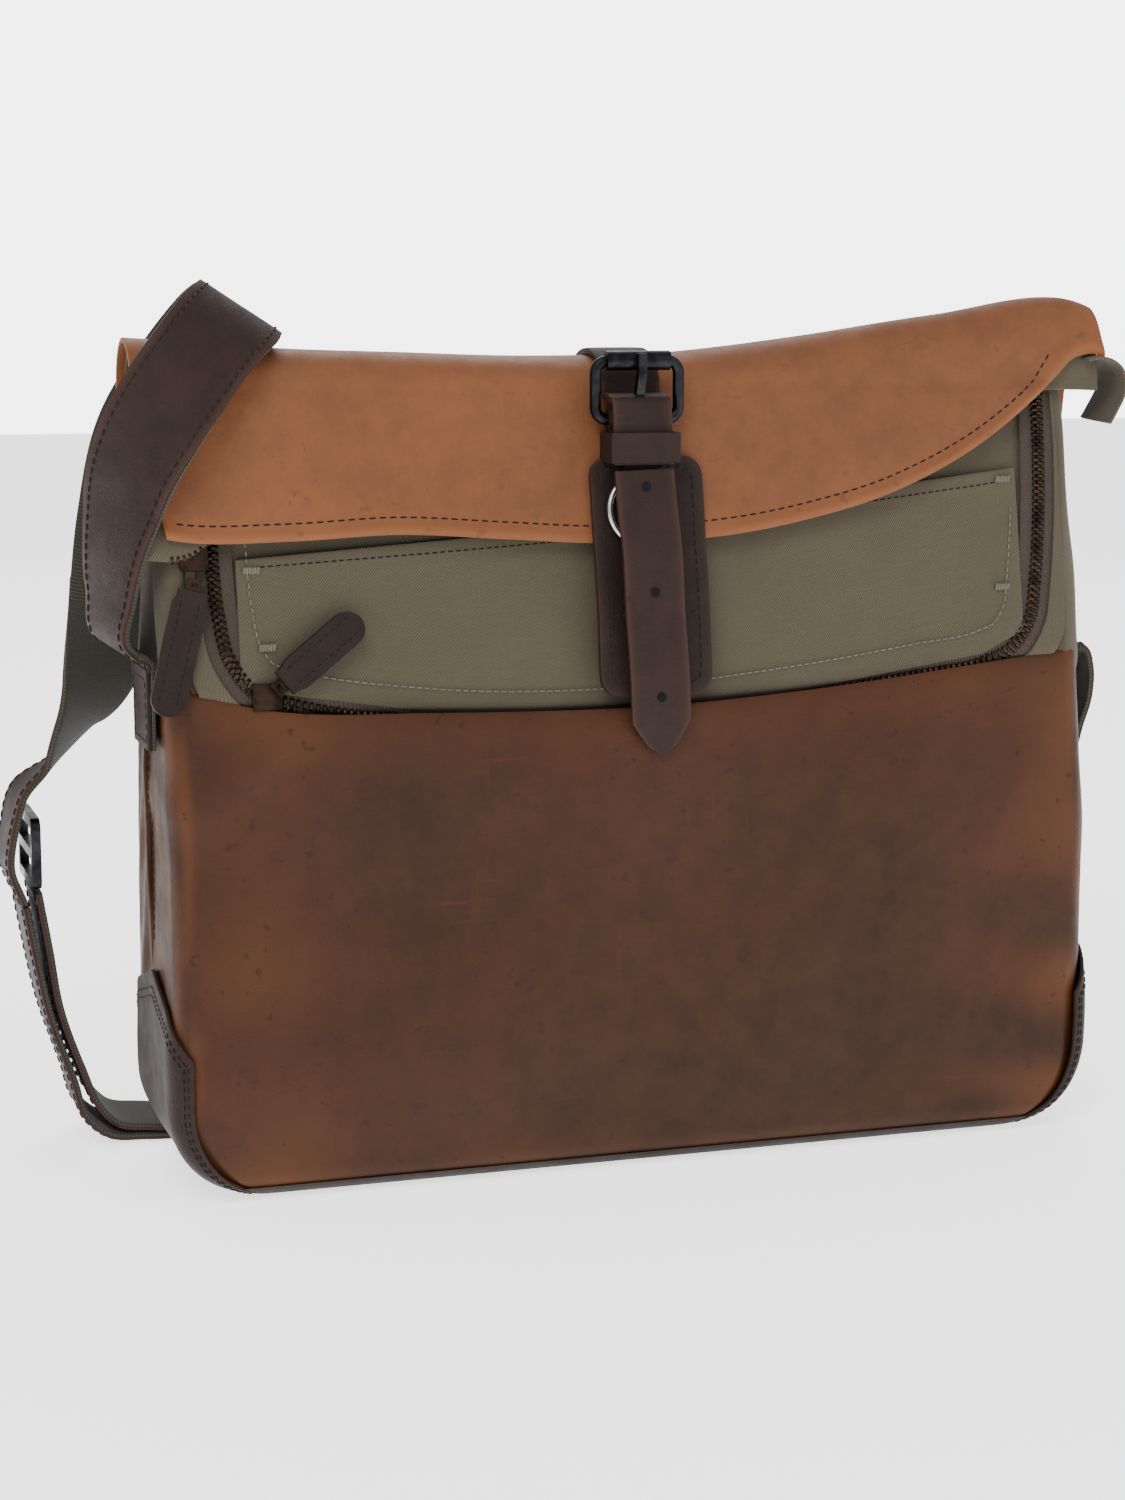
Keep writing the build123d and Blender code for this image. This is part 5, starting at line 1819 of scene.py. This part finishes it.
    def _holes(self, tail: Ribbon) -> None:
        """Punched holes of the tail as dark dished discs: their near-black finish is painted shade for the
        dark inside of each hole.

        Args:
            tail: The strap they lie on.
        """
        angle = np.arange(16) * 2 * math.pi / 16
        rim = np.stack([2.0 * np.cos(angle), 2.0 * np.sin(angle), np.full(16, 0.12)], axis=-1)
        points = np.concatenate([rim, rim * np.array([0.8, 0.8, 0.0]) + [0, 0, 0.16], [[0, 0, 0.1]]])
        base = np.arange(16)
        after = (base + 1) % 16
        ring = np.stack([base, after, after + 16, base + 16], axis=-1)
        cap = np.stack([base + 16, after + 16, np.full(16, 32), np.full(16, 32)], axis=-1)
        side = 1.0 if tail.facing[60, 1] < 0 else -1.0
        places = [int(np.argmin(np.abs(tail.line[:, 2] - z))) for z in (282, 240, 198)]
        centres = tail.line[places] + tail.facing[places] * side * 1.62
        along = unit(np.gradient(tail.line, axis=0))[places]
        faces = np.concatenate([ring, cap])
        triangles = np.concatenate([faces[:, [0, 1, 2]], faces[:16, [0, 2, 3]]])
        # dark discs in place of the holes' openings: painted shade, the strap is not cut through
        self.shop.repeat(
            "tail_holes_painted_shade", (
                points, triangles,
            ), centres, along, tail.facing[places] * side, "painted_hole_shade", Slot.STRAP_LEATHER, "tail"
        )


# ---------------------------------------------------------------- carried-over pieces


@dataclass
class Carried:
    """Pieces shown as the frame has them, with their finish."""

    shop: Workshop

    def build(self) -> None:
        """Dress the frame's own pieces."""
        looks = {
            "base_board": ("board", Slot.BOARD, 0.0),
            "slip_pocket": ("lining_cloth", Slot.LINING_CLOTH, 0.0),
            "buckle_frame": ("black_metal", Slot.BLACK_METAL, 0.0),
            "buckle_roller": ("black_metal", Slot.BLACK_METAL, 0.3),
            "buckle_prong": ("black_metal", Slot.BLACK_METAL, 0.5),
            "buckle_strap": ("strap_leather", Slot.STRAP_LEATHER, 0.4),
            "strap_keeper": ("strap_leather", Slot.STRAP_LEATHER, 0.4),
            "ring_loop": ("dark_leather", Slot.DARK_LEATHER, 0.4),
            "o_ring": ("nickel", Slot.NICKEL, 0.0),
            "magnet_socket": ("nickel", Slot.NICKEL, 0.4),
            "magnet_stud": ("nickel", Slot.NICKEL, 0.4),
            "front_zip_slider": ("zip_metal", Slot.ZIP_METAL, 0.3),
            "top_zip_slider": ("zip_metal", Slot.ZIP_METAL, 0.3),
            "front_pull_link": ("zip_metal", Slot.ZIP_METAL, 0.2),
            "top_pull_link": ("zip_metal", Slot.ZIP_METAL, 0.2),
            "front_pull_tab": ("dark_leather", Slot.DARK_LEATHER, 0.7),
            "top_pull_tab": ("dark_leather", Slot.DARK_LEATHER, 0.7),
            "strap_slide": ("black_metal", Slot.BLACK_METAL, 0.8),
            "strap_ring": ("black_metal", Slot.BLACK_METAL, 0.8),
            "strap_turn_left": ("strap_leather", Slot.STRAP_LEATHER, 0.4),
            "strap_turn_right": ("strap_leather", Slot.STRAP_LEATHER, 0.4),
        }
        for name, (material, slot, edge) in looks.items():
            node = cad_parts[name]
            node.data.materials.clear()
            node.data.materials.append(self.shop.finishes[material])
            if not node.data.uv_layers:
                self._unwrap(node)
            if edge > 0:
                bevel = node.modifiers.new("edges", "BEVEL")
                bevel.width = edge * MM
                bevel.segments = 2
                bevel.limit_method = "ANGLE"
                bevel.angle_limit = math.radians(40)
        LOG.info("carried over: %d pieces", len(looks))
        self._tab_threads()

    @staticmethod
    def _unwrap(node: bpy.types.Object) -> None:
        """Flat coordinates in metres, from X + Y and Z.

        Args:
            node: The mesh that gets them.
        """
        count = len(node.data.vertices)
        co = np.zeros(count * 3)
        node.data.vertices.foreach_get("co", co)
        co = co.reshape(-1, 3)
        loops = np.zeros(len(node.data.loops), np.int32)
        node.data.loops.foreach_get("vertex_index", loops)
        layer = node.data.uv_layers.new(name="UVMap")
        flat = np.stack([co[:, 0] + co[:, 1], co[:, 2]], axis=-1)
        layer.data.foreach_set("uv", flat[loops].astype(np.float32).ravel())

    def _tab_threads(self) -> None:
        """Two stitch rows along each pull tab."""
        for name, body in (("front_pull_tab", "front_pull"), ("top_pull_tab", "top_pull")):
            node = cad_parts[name]
            co = np.zeros(len(node.data.vertices) * 3)
            node.data.vertices.foreach_get("co", co)
            co = co.reshape(-1, 3) / MM
            middle = co.mean(0)
            _, _, axes = np.linalg.svd(co - middle, full_matrices=False)
            long, wide, out = axes
            out = out if out[1] < 0 else -out
            spread = (co - middle) @ np.stack([long, wide, out]).T
            middle = middle + ((spread.max(0) + spread.min(0)) / 2) @ np.stack([long, wide, out])
            reach, top = np.ptp(spread[:, 0]) / 2, np.ptp(spread[:, 2]) / 2
            rows = []
            for side in (-3.6, 3.6):
                t = np.linspace(-reach * 0.82, reach * 0.82, 40)[:, None]
                rows.append(middle + t * long + side * wide + (top - 0.05) * out)
            for row, path in enumerate(rows):
                self.shop.stitches(f"{name}_stitches_{row + 1}", path, np.tile(out, (40, 1)), body, 3.2)


# ---------------------------------------------------------------- studio


@dataclass
class Studio:
    """Pale floor, soft light and the camera."""

    def build(self) -> None:
        """Make the stage and the camera."""
        data = bpy.data.meshes.new("floor")
        far, level = 6.0, -0.0006
        corners = [(x, y, level) for x, y in ((-far, -far), (far, -far), (far, far), (-far, far))]
        data.from_pydata(corners, [], [(0, 1, 2, 3)])
        floor = bpy.data.objects.new("floor", data)
        bpy.context.scene.collection.objects.link(floor)
        material, wires, shader = start_material("floor_paint")
        shader.inputs["Base Color"].default_value = (0.96, 0.96, 0.96, 1)
        shader.inputs["Emission Color"].default_value = (1, 1, 1, 1)
        shader.inputs["Emission Strength"].default_value = 1.6
        shader.inputs["Roughness"].default_value = 0.9
        shader.inputs["Specular IOR Level"].default_value = 0.05
        data.materials.append(material)
        world = bpy.data.worlds.new("studio")
        world.use_nodes = True
        wires = Wiring(world.node_tree)
        seen = wires.add("ShaderNodeLightPath").outputs["Is Camera Ray"]
        sky = world.node_tree.nodes["Background"]
        sky.inputs["Color"].default_value = (1.0, 1.0, 1.0, 1)
        world.node_tree.links.new(wires.ramp(seen, 0.0, 1.0, 0.85, 5.0), sky.inputs["Strength"])
        bpy.context.scene.world = world
        for name, place, power, size in (
            ("key", (-0.9, -1.5, 1.9), 34.0, 1.2),
            ("fill", (1.6, -1.3, 1.0), 11.0, 1.8),
            ("rim", (0.2, 1.6, 1.8), 22.0, 1.6),
        ):
            light = bpy.data.lights.new(name, "AREA")
            light.energy, light.size = power, size
            lamp = bpy.data.objects.new(name, light)
            lamp.location = place
            lamp.rotation_euler = (Vector((0, 0, 0.16)) - Vector(place)).to_track_quat("-Z", "Y").to_euler()
            bpy.context.scene.collection.objects.link(lamp)
        self._camera()

    @staticmethod
    def _camera() -> None:
        """Camera that looks at the bag from the front, a little from the left and above."""
        camera = bpy.data.cameras.new("camera")
        camera.lens, camera.sensor_width = 69.6, 36.0
        obj = bpy.data.objects.new("camera", camera)
        obj.location = (-0.3865, -1.1490, 0.3634)
        target = Vector((-0.0253, 0.0, 0.1694))
        obj.rotation_euler = (target - obj.location).to_track_quat("-Z", "Y").to_euler()
        bpy.context.scene.collection.objects.link(obj)
        bpy.context.scene.camera = obj


class Bag:
    """The whole bag."""

    def __init__(self) -> None:
        """Set up the workshop."""
        self.shop = Workshop(Finishes())

    def build(self) -> None:
        """Make every sub-assembly."""
        for part in (Walls, AccessPanel, Flap, ShoulderStrap, Closure, Carried):
            part(self.shop).build()


def main() -> None:
    """Build the scene."""
    Bag().build()
    Studio().build()


if __name__ == "__main__":
    main()
